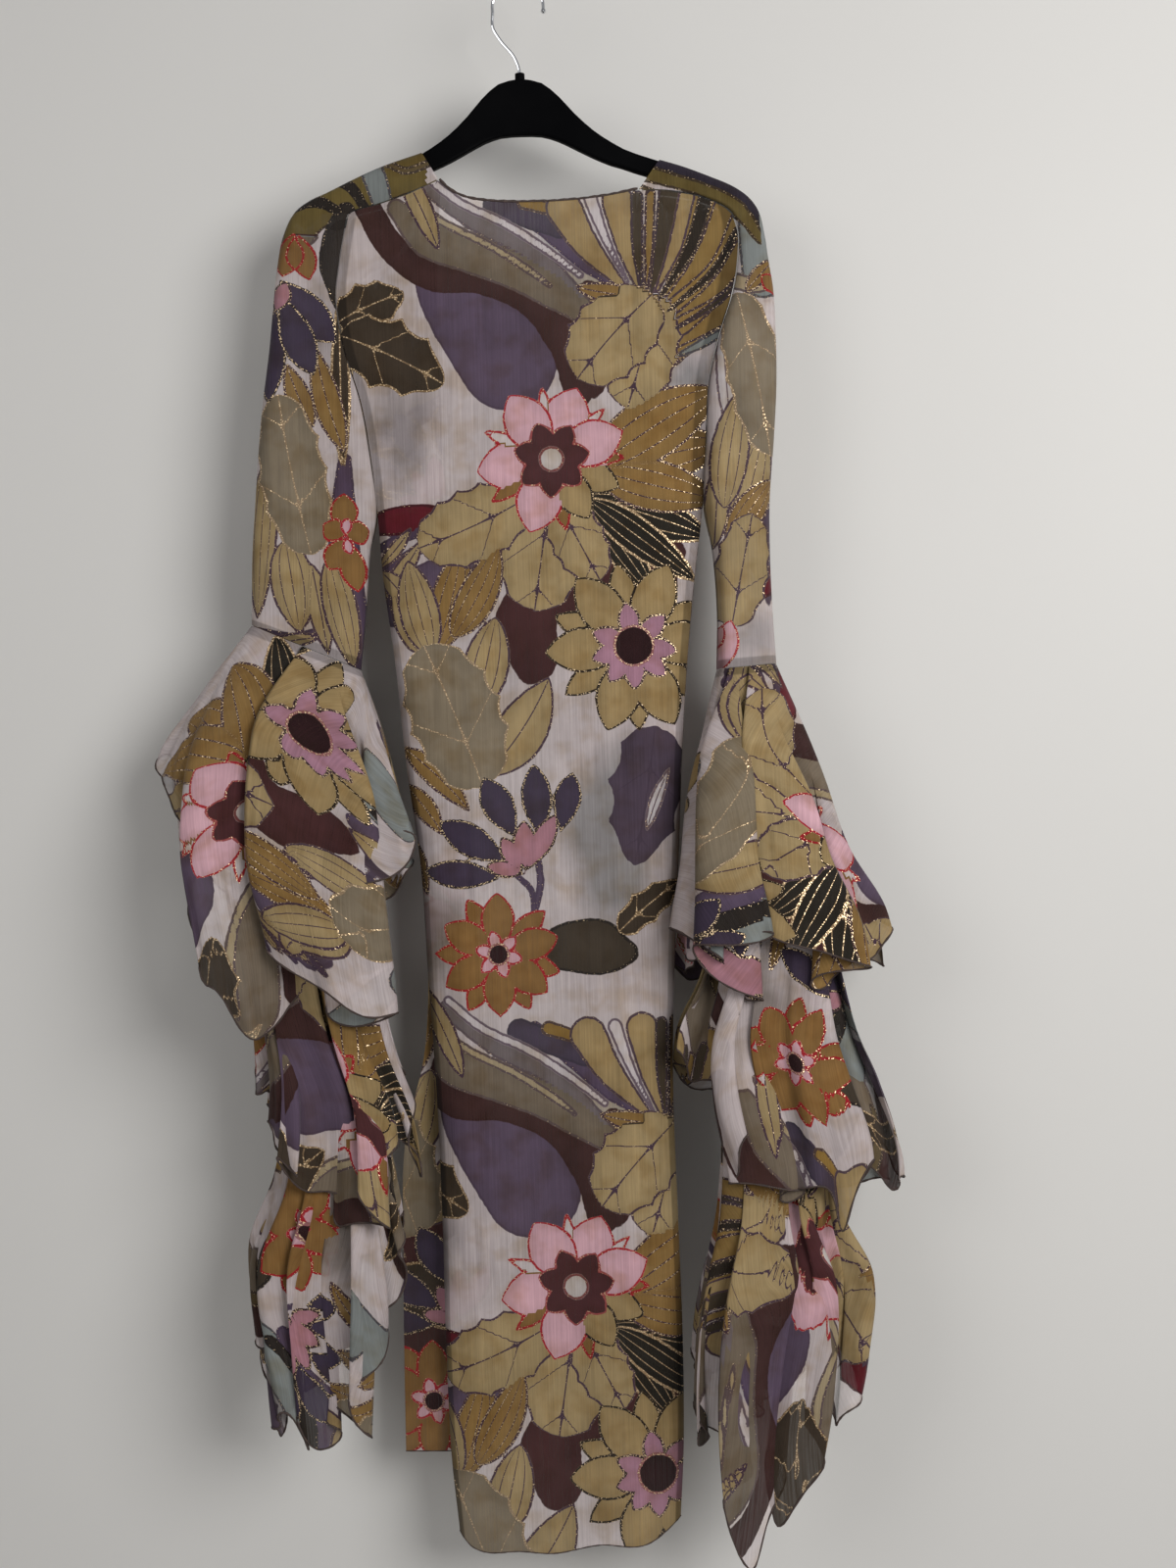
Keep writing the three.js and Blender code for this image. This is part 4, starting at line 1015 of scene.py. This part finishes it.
def plastic():
    """Black moulded plastic with a fine satin grain."""
    body = Finish("satin black plastic")
    place = body.add("ShaderNodeTexCoord").outputs["Object"]
    grain = body.noise(place, 900.0, 3.0)
    clouds = body.noise(place, 14.0, 3.0)
    body.set(
        base_color=body.colours(clouds.between(0.3, 0.7), colour(4, 4, 5), colour(8, 8, 9)),
        roughness=clouds * 0.16 + 0.36,
        specular_ior_level=0.03,
    )
    return body.bumped(0.12, 0.0002, grain)


def chrome():
    """Bright plated wire with faint drawing marks."""
    wire = Finish("plated wire")
    place = wire.add("ShaderNodeTexCoord").outputs["Object"]
    marks = wire.noise(place, 700.0, 3.0)
    wire.set(
        base_color=wire.colours(marks, colour(190, 192, 195), colour(222, 223, 225)),
        metallic=1.0,
        roughness=marks * 0.14 + 0.12,
    )
    return wire.bumped(0.05, 0.0001, marks)


def overlock():
    """Dark overlock thread with wrapped stitches."""
    thread = Finish("overlock thread")
    flat = thread.add("ShaderNodeUVMap", {"uv_map": "cloth"}).outputs[0]
    wraps = thread.value("ShaderNodeTexWave", {"bands_direction": "X"}, Vector=flat, Scale=1.0)
    shade = wraps * 0.6 + thread.noise(flat, 2.3, 2.0) * 0.4
    thread.set(base_color=thread.colours(shade, colour(34, 26, 26), colour(84, 66, 58)), roughness=0.7)
    return thread.bumped(0.5, 0.0004, wraps)


def wall_paint():
    """Pale wall with a faint mottle."""
    paint = Finish("pale wall")
    place = paint.add("ShaderNodeTexCoord").outputs["Object"]
    mottle = paint.noise(place, 1.5, 3.0)
    # The wall is clear from behind, so that the open fronts can be seen
    behind = Value(paint, paint.add("ShaderNodeNewGeometry").outputs["Backfacing"])
    tone = paint.colours(mottle, colour(206, 204, 200), colour(214, 212, 208))
    paint.set(base_color=tone, roughness=0.95, alpha=1.0 - behind)
    return paint.material


# Making pieces


def add_object(name, mesh, material):
    obj = bpy.data.objects.new(name, mesh)
    bpy.context.scene.collection.objects.link(obj)
    mesh.materials.append(material)
    for face in mesh.polygons:
        face.use_smooth = True
    return obj


def cloth_sheet(name, columns, rows, place, print_at, material, design=BODY_PRINT, closed=False):
    """A sheet of cloth: a flat grid is moved to place(share, down), where share and down run from 0 to 1.

    place returns points in millimetres, their places on the flat cloth and their distances from the nearest
    turned seam. print_at turns places on the flat cloth into places on the print.
    """
    made = bmesh.new()
    bmesh.ops.create_grid(made, x_segments=columns, y_segments=rows, size=0.5)
    made.verts.ensure_lookup_table()
    start = np.array([v.co[:2] for v in made.verts]) + 0.5
    points, flat, seam = place(start[:, 0], 1 - start[:, 1])
    for vert, point in zip(made.verts, points * MM):
        vert.co = point
    layer = made.loops.layers.uv.new("cloth")
    for face in made.faces:
        for loop in face.loops:
            loop[layer].uv = flat[loop.vert.index] * MM
    order = made.verts.layers.int.new("order")
    for vert in made.verts:
        vert[order] = vert.index
    if closed:
        join = [v for v in made.verts if start[v.index, 0] < 1e-4 or start[v.index, 0] > 1 - 1e-4]
        bmesh.ops.remove_doubles(made, verts=join, dist=1e-5)
    mesh = bpy.data.meshes.new(name)
    made.to_mesh(mesh)
    made.free()
    kept = np.zeros(len(mesh.vertices), np.int32)
    mesh.attributes["order"].data.foreach_get("value", kept)
    mesh.attributes.remove(mesh.attributes["order"])
    fields = print_fields(print_at(flat)[kept], design)
    for index, field in enumerate(fields):
        attribute = mesh.attributes.new(f"print_{index}", "FLOAT_VECTOR", "POINT")
        attribute.data.foreach_set("vector", field.ravel())
    attribute = mesh.attributes.new("seam", "FLOAT", "POINT")
    attribute.data.foreach_set("value", seam[kept].astype(np.float32))
    return add_object(name, mesh, material)


def rolled_edge(name, line, material, radius=HEM_RADIUS, closed=False):
    """Narrow overlocked edge: a thin tube along a line of points in millimetres."""
    curve = bpy.data.curves.new(name, "CURVE")
    curve.dimensions = "3D"
    curve.bevel_depth = radius * MM
    curve.bevel_resolution = 1
    curve.use_fill_caps = not closed
    spline = curve.splines.new("POLY")
    spline.points.add(len(line) - 1)
    spline.use_cyclic_u = closed
    for point, place in zip(spline.points, line):
        point.co = (*(np.array(place) * MM), 1)
    order = np.arange(len(line))
    thick = 1 + 0.22 * np.sin(order * 2.1) + 0.1 * np.sin(order * 0.7)
    spline.points.foreach_set("radius", thick)
    source = bpy.data.objects.new(name, curve)
    bpy.context.scene.collection.objects.link(source)
    mesh = bpy.data.meshes.new_from_object(source.evaluated_get(bpy.context.evaluated_depsgraph_get()))
    bpy.data.objects.remove(source)
    mesh.name = name
    uv = mesh.uv_layers.new(name="cloth")
    length = np.concatenate([[0], np.cumsum(np.linalg.norm(np.diff(line, axis=0), axis=1))])
    for loop in mesh.loops:
        ring = min(loop.vertex_index // TUBE_SIDES, len(length) - 1)
        height = mesh.vertices[loop.vertex_index].co.z
        uv.data[loop.index].uv = (length[ring] / STITCH, height * STITCH_ROWS)
    return add_object(name, mesh, material)


def cut_from(print_point, cloth_point, turned=0.0):
    """Where a piece is cut: the point of the print that lies at a point of its flat cloth, and the turn."""
    turn = math.radians(-turned)
    matrix = np.array([[math.cos(turn), -math.sin(turn)], [math.sin(turn), math.cos(turn)]])
    return lambda flat: (flat - np.array(cloth_point)) @ matrix.T + np.array(print_point)


def finish_piece(obj, node):
    """Fixes a piece to its body, and hides the CAD node that it replaces, if any."""
    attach(obj, "root")
    if node:
        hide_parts(node)
    return obj


# Camera

PIXEL = 0.945
ROLL = math.radians(1.7)
PHOTO_SIZE = (1200, 1600)
HOOK_PIXEL = (527, -22.66)
DISTANCE = 1.75
BACK_Y = -0.014
SENSOR = 36

middle_x = (PHOTO_SIZE[0] / 2 - HOOK_PIXEL[0]) * PIXEL
middle_z = -(PHOTO_SIZE[1] / 2 - HOOK_PIXEL[1]) * PIXEL
camera_data = bpy.data.cameras.new("camera")
camera_data.sensor_width = SENSOR
camera_data.lens = SENSOR * DISTANCE / (PHOTO_SIZE[1] * PIXEL * MM)
camera = bpy.data.objects.new("camera", camera_data)
camera.matrix_world = (
    Matrix.Translation((
        (middle_x * math.cos(ROLL) + middle_z * math.sin(ROLL)) * MM,
        -DISTANCE + BACK_Y,
        (middle_z * math.cos(ROLL) - middle_x * math.sin(ROLL)) * MM,
    ))
    @ Matrix.Rotation(math.radians(90), 4, "X")
    @ Matrix.Rotation(-ROLL, 4, "Z")
)
bpy.context.scene.collection.objects.link(camera)
bpy.context.scene.camera = camera
bpy.context.scene.view_settings.view_transform = "Standard"

# Cloth pieces

body_cloth = chiffon("printed chiffon")
edge_thread = overlock()


def panel_place(rows_at, columns, relief):
    """Place function of a panel from its rows."""

    def place(share, down):
        grid, places = rows_at(np.linspace(0, 1, columns + 1))
        fine = np.unique(np.round(down, 6))
        at = mix(places[0], places[-1], fine)
        surface = smooth(places, grid.reshape(len(places), -1), at).reshape(len(at), columns + 1, 3)
        row = np.searchsorted(fine, np.round(down, 6))
        column = np.rint(share * columns).astype(int)
        return relief(surface[row, column], share, down, surface[row, columns // 2, 0])

    return place


def body_relief(points, share, down, middle_x):
    """Soft hanging folds of the body, and the flat places of its points: x and height as it hangs."""
    x, y, z = points.T
    low_down = ease(450, 1100, -z)
    wave = (
        1.8 * np.sin(x / 31 + z / 900) * low_down
        + 1.2 * np.sin(x / 17 + 1.3 + z / 500) * low_down
        + 0.9 * np.sin(x / 60 - z / 260)
    )
    rim = np.minimum(share, 1 - share)
    moved = points.copy()
    moved[:, 1] += np.sign(y) * wave * ease(0, 0.08, rim) * np.minimum(np.abs(y) / 8, 1)
    return moved, np.stack([x, z], 1)


def sleeve_relief(points, share, down, outer_x):
    """Soft drag lines round the sleeve, and flat places: around it and height."""
    x, y, z = points.T
    rim = np.minimum(share, 1 - share)
    wave = 1.3 * np.sin(z / 23 + x / 40) + 1.1 * np.sin(z / 57 - x / 25)
    moved = points.copy()
    moved[:, 1] += np.sign(y) * wave * ease(0, 0.1, rim) * ease(0, 0.15, down) * ease(0, 0.1, 1 - down)
    return moved, np.stack([np.where(share > 0.5, 2 * outer_x - x, x), z], 1)


def seamed(place, sides, turned_below):
    """Adds the distances to a panel's turned seams, which are along its sides and perhaps its bottom.

    Columns of sides: edge, width of the seam, the heights that have it. The wide band along the back's right
    armhole also stands for painted shade in the gap beside the sleeve.
    """

    def with_seam(share, down):
        points, flat = place(share, down)
        gap = np.full(len(share), FAR)
        across, long = np.ptp(flat, axis=0)
        for side, width, reach in sides:
            from_edge = (share if side == "left" else 1 - share) * across
            here = np.where(reach(flat[:, 1]), 0, FAR)
            gap = np.minimum(gap, from_edge * SEAM_WIDTH / width + here)
        if turned_below:
            gap = np.minimum(gap, (1 - down) * long)
        return points, flat, gap

    return with_seam


def everywhere(z):
    return z < 0


def along_armhole(z):
    return z > -520


def panel(name, grid, rows_at, relief, sides, cut=((0, 0), (0, 0)), design=BODY_PRINT, turned_below=False):
    place = seamed(panel_place(rows_at, grid[0], relief), sides, turned_below)
    return cloth_sheet(name, *grid, place, cut_from(*cut), body_cloth, design)


# The back's right armhole gets a wider, darker band: painted shade in the gap between the back and the right
# sleeve
BACK_SEAMS = [("left", 9, everywhere), ("right", 10, everywhere), ("right", 14, along_armhole)]
FRONT_SEAMS = [("left", 7, along_armhole)]
SLEEVE_SEAMS = [("left", 7, everywhere), ("right", 7, everywhere)]

back = panel("back_panel", BACK_GRID, back_rows, body_relief, BACK_SEAMS)
finish_piece(back, "back")

# The left front is cut with a dark leaf and ground above its hem
LOW_FRONT = [
    (2, "plum", -62, -880, 52, 34, 0, 0.1),
    (6, "black_leaf", -60, -835, 60, 26, -20, 0.15),
    (1, "dark_ground", -70, -770, 46, 40, 10, 0.15),
]
FRONT_PRINTS = {"left": {**BODY_PRINT, "blobs": BLOBS + LOW_FRONT}, "right": BODY_PRINT}
FRONT_CUTS = {"left": ((-45, -941), (-123, -1379)), "right": ((20, -465), (95, -760))}
fronts = {}
for side in ("left", "right"):
    front = panel(
        f"front_panel_{side}",
        FRONT_GRID,
        lambda share, s=side: front_rows(share, s == "left"),
        body_relief,
        FRONT_SEAMS,
        FRONT_CUTS[side],
        FRONT_PRINTS[side],
    )
    fronts[side] = finish_piece(front, f"front_{side}")
for side in ("left", "right"):
    sleeve = panel(
        f"saddle_sleeve_{side}",
        SLEEVE_GRID,
        lambda share, s=side: sleeve_grid(share, s),
        sleeve_relief,
        SLEEVE_SEAMS,
        design=SLEEVE_PRINTS[side],
        turned_below=True,
    )
    finish_piece(sleeve, f"sleeve_{side}")

# Hanging folds of each flounce, where the cloth doubles over itself.
# Columns: place round the sleeve, side in front, reach, overlap, depth, fall where it starts
PLEATS = {
    ("left", 1): [
        (-0.9, 1, 0.036, 32, 11, 60), (-0.8, -1, 0.036, 36, 13, 40), (-0.7, 1, 0.042, 44, 17, 10),
        (-0.516, -1, 0.046, 54, 20, -40), (0.02, -1, 0.042, 34, 13, 60), (0.18, 1, 0.046, 44, 16, 30),
        (0.36, -1, 0.046, 46, 17, 0), (0.54, 1, 0.046, 44, 16, 30), (0.71, -1, 0.044, 40, 15, 20),
        (0.87, 1, 0.04, 34, 12, 60),
    ],
    ("left", 2): [
        (-0.85, 1, 0.04, 34, 12, 120), (-0.73, -1, 0.04, 36, 13, 100), (-0.61, -1, 0.042, 44, 16, 60),
        (-0.48, 1, 0.042, 44, 16, 40), (-0.33, -1, 0.042, 40, 14, 120), (-0.17, 1, 0.042, 36, 13, 100),
        (0.03, -1, 0.044, 38, 14, 60), (0.22, 1, 0.046, 42, 15, 60), (0.42, -1, 0.046, 44, 16, 40),
        (0.62, 1, 0.046, 42, 15, 60), (0.81, -1, 0.044, 38, 13, 80),
    ],
    ("left", 3): [
        (-0.86, -1, 0.04, 34, 12, 300), (-0.74, 1, 0.04, 38, 13, 320), (-0.62, -1, 0.042, 42, 14, 260),
        (-0.5, 1, 0.042, 44, 15, 200), (-0.37, -1, 0.042, 42, 15, 260), (-0.22, 1, 0.042, 38, 13, 300),
        (0.0, -1, 0.044, 38, 13, 200), (0.2, 1, 0.046, 42, 14, 220), (0.4, -1, 0.046, 44, 15, 200),
        (0.6, 1, 0.046, 42, 14, 240), (0.8, -1, 0.044, 38, 13, 220),
    ],
    ("right", 1): [
        (-0.92, 1, 0.034, 30, 11, 30), (-0.82, -1, 0.04, 42, 15, 10), (-0.71, 1, 0.044, 52, 20, -30),
        (-0.6, -1, 0.036, 40, 15, -10), (-0.47, 1, 0.044, 52, 20, -40), (-0.34, -1, 0.038, 40, 14, 30),
        (-0.2, -1, 0.042, 36, 13, 60), (-0.02, 1, 0.042, 34, 13, 60), (0.17, -1, 0.046, 44, 16, 10),
        (0.36, 1, 0.046, 44, 16, 30), (0.55, -1, 0.046, 46, 17, 0), (0.74, 1, 0.044, 40, 15, 20),
    ],
    ("right", 2): [
        (-0.9, -1, 0.038, 34, 12, 120), (-0.79, 1, 0.04, 38, 13, 100), (-0.68, -1, 0.042, 42, 15, 60),
        (-0.54, 1, 0.044, 48, 17, 60), (-0.31, -1, 0.044, 42, 15, 100), (-0.13, 1, 0.042, 36, 13, 120),
        (0.06, -1, 0.044, 38, 14, 60), (0.26, 1, 0.046, 42, 15, 60), (0.46, -1, 0.046, 44, 16, 40),
        (0.66, 1, 0.046, 42, 15, 60), (0.84, -1, 0.04, 34, 12, 100),
    ],
    ("right", 3): [
        (-0.88, 1, 0.04, 34, 12, 300), (-0.77, -1, 0.04, 38, 13, 260), (-0.66, 1, 0.042, 44, 15, 260),
        (-0.51, -1, 0.044, 46, 16, 220), (-0.36, 1, 0.042, 42, 15, 260), (-0.2, -1, 0.042, 38, 13, 300),
        (0.02, 1, 0.044, 38, 13, 220), (0.22, -1, 0.046, 42, 14, 240), (0.42, 1, 0.046, 44, 15, 200),
        (0.62, -1, 0.046, 42, 14, 240), (0.82, 1, 0.044, 36, 13, 220),
    ],
}
# Fine flutter of the hems. Columns: waves round the sleeve, strength, phase
FLUTTER = ((8, 1.5, 0.4), (15, 1.4, 2.1), (25, 1.1, 4.0), (41, 0.7, 1.0))
FLUTTER_HEIGHT = 2.4
# Waves that lift the hem's edge. Columns: waves round the sleeve, height
RIPPLE = ((17, 5.5), (29, 3.2))
# Fall over which a fold grows to its full size
PLEAT_GROWTH = 130.0

# Place round the sleeve of the middle of its back, and the hem's pointed tails with the cut on either side
BACK_MIDDLE = -0.5
TAILS = {("left", 3): (-0.5, -0.35), ("right", 2): (-0.4,), ("right", 3): (-0.6, -0.45)}
TAIL_CUT, TAIL_TIP, TAIL_REACH = 56, 0.03, 0.07

# Step round the sleeve by which the cloth's direction is found
STEP = 0.004

# Inner radius of each tier's cut, and girth of the cloth. Columns: fall, girth
INNER_RADIUS = (34, 107, 244)
GIRTH = reader([(0, 190), (60, 300), (130, 390), (300, 450), (900, 520)])


def flounce_place(table, folds, pleats, side, seed):
    """Place function of a flounce, from its rings, its hem and its folds."""
    hem_at = reader(table["hem"])
    inner = INNER_RADIUS[seed]
    outside = 1 if side == "right" else -1

    def place(share, down):
        where = share * 2 - 1
        fall = hem_at(where)[..., 0]
        for tip in TAILS.get((side, seed + 1), ()):
            off = np.abs(where - tip)
            fall -= TAIL_CUT * (1 - np.exp(-((off / TAIL_TIP) ** 2))) * np.exp(-((off / TAIL_REACH) ** 2))
        fall = fall * down
        round_it = GIRTH(fall)[..., 0]
        shift, rise = np.zeros_like(where), np.zeros_like(where)
        for at, front, reach, overlap, depth, start in pleats:
            u = ((where - at + 1) % 2 - 1) / reach
            bend = u * np.exp(-u * u) * ease(start, start + PLEAT_GROWTH, fall)
            shift -= bend * overlap
            rise += bend * depth * front
        wave = np.zeros_like(where)
        edge = ease(0.3, 1.0, down) ** 1.6
        for count, strength, phase in FLUTTER:
            wave += strength * np.sin(np.pi * count * where + phase * seed + fall / 60)
        moved = where + shift * 2 / round_it
        points = on_flounce(table, folds, side, moved, where, fall)
        along = on_flounce(table, folds, side, moved + STEP, where + STEP, fall) - points
        outward = outside * np.stack([along[:, 1], -along[:, 0], np.zeros(len(where))], 1)
        outward /= np.maximum(np.linalg.norm(outward, axis=1), 1e-6)[:, None]
        points = points + outward * (rise + wave * edge * FLUTTER_HEIGHT)[:, None]
        ripple = np.zeros_like(where)
        for number, (count, height) in enumerate(RIPPLE, 1):
            ripple += height * np.sin(np.pi * count * where + number * seed)
        points[:, 2] += (ripple + rise) * ease(0.55, 1.0, down) ** 1.5
        # The flat cloth is part of a ring: measured round each row from the middle of the back
        rows, row = np.unique(np.round(down, 6), return_inverse=True)
        columns, column = np.unique(np.round(where, 6), return_inverse=True)
        table_of = np.zeros((len(rows), len(columns), 2))
        table_of[row, column] = points[:, :2]
        steps = np.linalg.norm(np.diff(table_of, axis=1), axis=2)
        arc = np.concatenate([np.zeros((len(rows), 1)), np.cumsum(steps, axis=1)], axis=1)
        arc -= arc[:, np.searchsorted(columns, BACK_MIDDLE)][:, None]
        reach = inner + fall
        turn = outside * arc[row, column] / reach
        flat = np.stack([reach * np.sin(turn), inner - reach * np.cos(turn)], 1)
        return points, flat, np.where(down < 0.5, fall, FAR)

    return place


# Where each flounce is cut from the print. Columns: point of the print, point of the cloth, angle
FLOUNCE_CUTS = {
    ("left", 1): ((20, -465), (-66, -150), 105),
    ("left", 2): ((20, -465), (60, -430), 60),
    ("left", 3): ((-45, -941), (-60, -560), -160),
    ("right", 1): ((0, -640), (-20, -150), -70),
    ("right", 2): ((-45, -941), (40, -375), -30),
    ("right", 3): ((20, -465), (60, -560), 120),
}
for side, tables, folds in (("left", FLOUNCES_LEFT, FOLDS_LEFT), ("right", FLOUNCES_RIGHT, FOLDS_RIGHT)):
    for tier, table in enumerate(tables, 1):
        longest = max(row[1] for row in table["hem"])
        place = flounce_place(table, folds, PLEATS[side, tier], side, tier - 1)
        flounce = cloth_sheet(
            f"flounce_{side}_tier_{tier}",
            FLOUNCE_COLUMNS,
            int(longest / (CELL if tier < 3 else LOWER_CELL)),
            place,
            cut_from(*FLOUNCE_CUTS[side, tier]),
            body_cloth,
            FLOUNCE_PRINT,
            closed=True,
        )
        finish_piece(flounce, f"flounce_{side}_{tier}")
        share = np.linspace(0, 1, HEM_POINTS + 1)[:-1]
        hem_line = place(share, np.ones_like(share))[0]
        hem = rolled_edge(f"rolled_hem_{side}_tier_{tier}", hem_line, edge_thread, closed=True)
        finish_piece(hem, None)

# Hanger, as the CAD has it
for node, finish in (("hanger_body", plastic), ("hanger_hook", chrome)):
    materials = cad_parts[node].data.materials
    materials.clear()
    materials.append(finish())

# Rolled edges of the body's hems and open sides
for cloth in (back, *fronts.values()):
    rows = (BACK_GRID if cloth is back else FRONT_GRID)[1] + 1
    grid = (np.array([v.co for v in cloth.data.vertices]) / MM).reshape(rows, -1, 3)
    hem = rolled_edge(f"{cloth.name}_hem", grid[0, ::2], edge_thread, PANEL_HEM_RADIUS)
    finish_piece(hem, None)
    if cloth is not back:
        open_side = grid[::2, -1 if cloth is fronts["left"] else 0]
        edge = rolled_edge(f"{cloth.name}_edge", open_side, edge_thread, PANEL_EDGE_RADIUS)
        finish_piece(edge, None)

# Neck edge
left_edge, right_edge, _ = top_edge()
neck_x = np.linspace(left_edge[0][0] + 1, right_edge[0][0] - 1, 60)
neck_drop = NECKLINE(neck_x)[..., 0]
neck_points = on_body(neck_x, neck_drop - 1.2, body_rows()[0], -1)
binding = rolled_edge("neck_edge", neck_points, edge_thread, NECK_RADIUS)
finish_piece(binding, "neck_binding")

# Stage: a floor that curves up into the wall, in metres
STAGE_SIZE, STAGE_ROWS = 40, 60
FLOOR_Z, WALL_Y, CURVE, FRONT_Y = -2.6, 0.085, 0.4, -14.0
stage_mesh = bmesh.new()
bmesh.ops.create_grid(stage_mesh, x_segments=1, y_segments=STAGE_ROWS, size=0.5)
for vert in stage_mesh.verts:
    travel = (vert.co.y + 0.5) * STAGE_SIZE
    flat_run = WALL_Y - CURVE - FRONT_Y
    if travel < flat_run:
        y, z = FRONT_Y + travel, FLOOR_Z
    elif travel < flat_run + CURVE * math.pi / 2:
        turn = (travel - flat_run) / CURVE
        y, z = WALL_Y - CURVE + CURVE * math.sin(turn), FLOOR_Z + CURVE - CURVE * math.cos(turn)
    else:
        y, z = WALL_Y, FLOOR_Z + CURVE + travel - flat_run - CURVE * math.pi / 2
    vert.co = (vert.co.x * STAGE_SIZE, y, z)
backdrop_mesh = bpy.data.meshes.new("backdrop")
stage_mesh.to_mesh(backdrop_mesh)
stage_mesh.free()
backdrop = add_object("backdrop", backdrop_mesh, wall_paint())

world = bpy.data.worlds.new("room")
world.use_nodes = True
world.node_tree.nodes["Background"].inputs[0].default_value = colour(236, 236, 240)
world.node_tree.nodes["Background"].inputs[1].default_value = 0.26
bpy.context.scene.world = world


def soft_light(name, place, aim, size, watts):
    """Round soft lamp in metres."""
    light = bpy.data.lights.new(name, "AREA")
    light.shape = "DISK"
    light.size, light.energy = size, watts
    obj = bpy.data.objects.new(name, light)
    obj.location = place
    obj.rotation_euler = (Vector(aim) - Vector(place)).to_track_quat("-Z", "Y").to_euler()
    bpy.context.scene.collection.objects.link(obj)


soft_light("ceiling_lamp", (1.4, -1.9, -0.2), (0.3, 0, -0.7), 1.5, 47)
soft_light("window", (-1.8, -2.4, 0.0), (0, 0, -0.7), 1.6, 17)
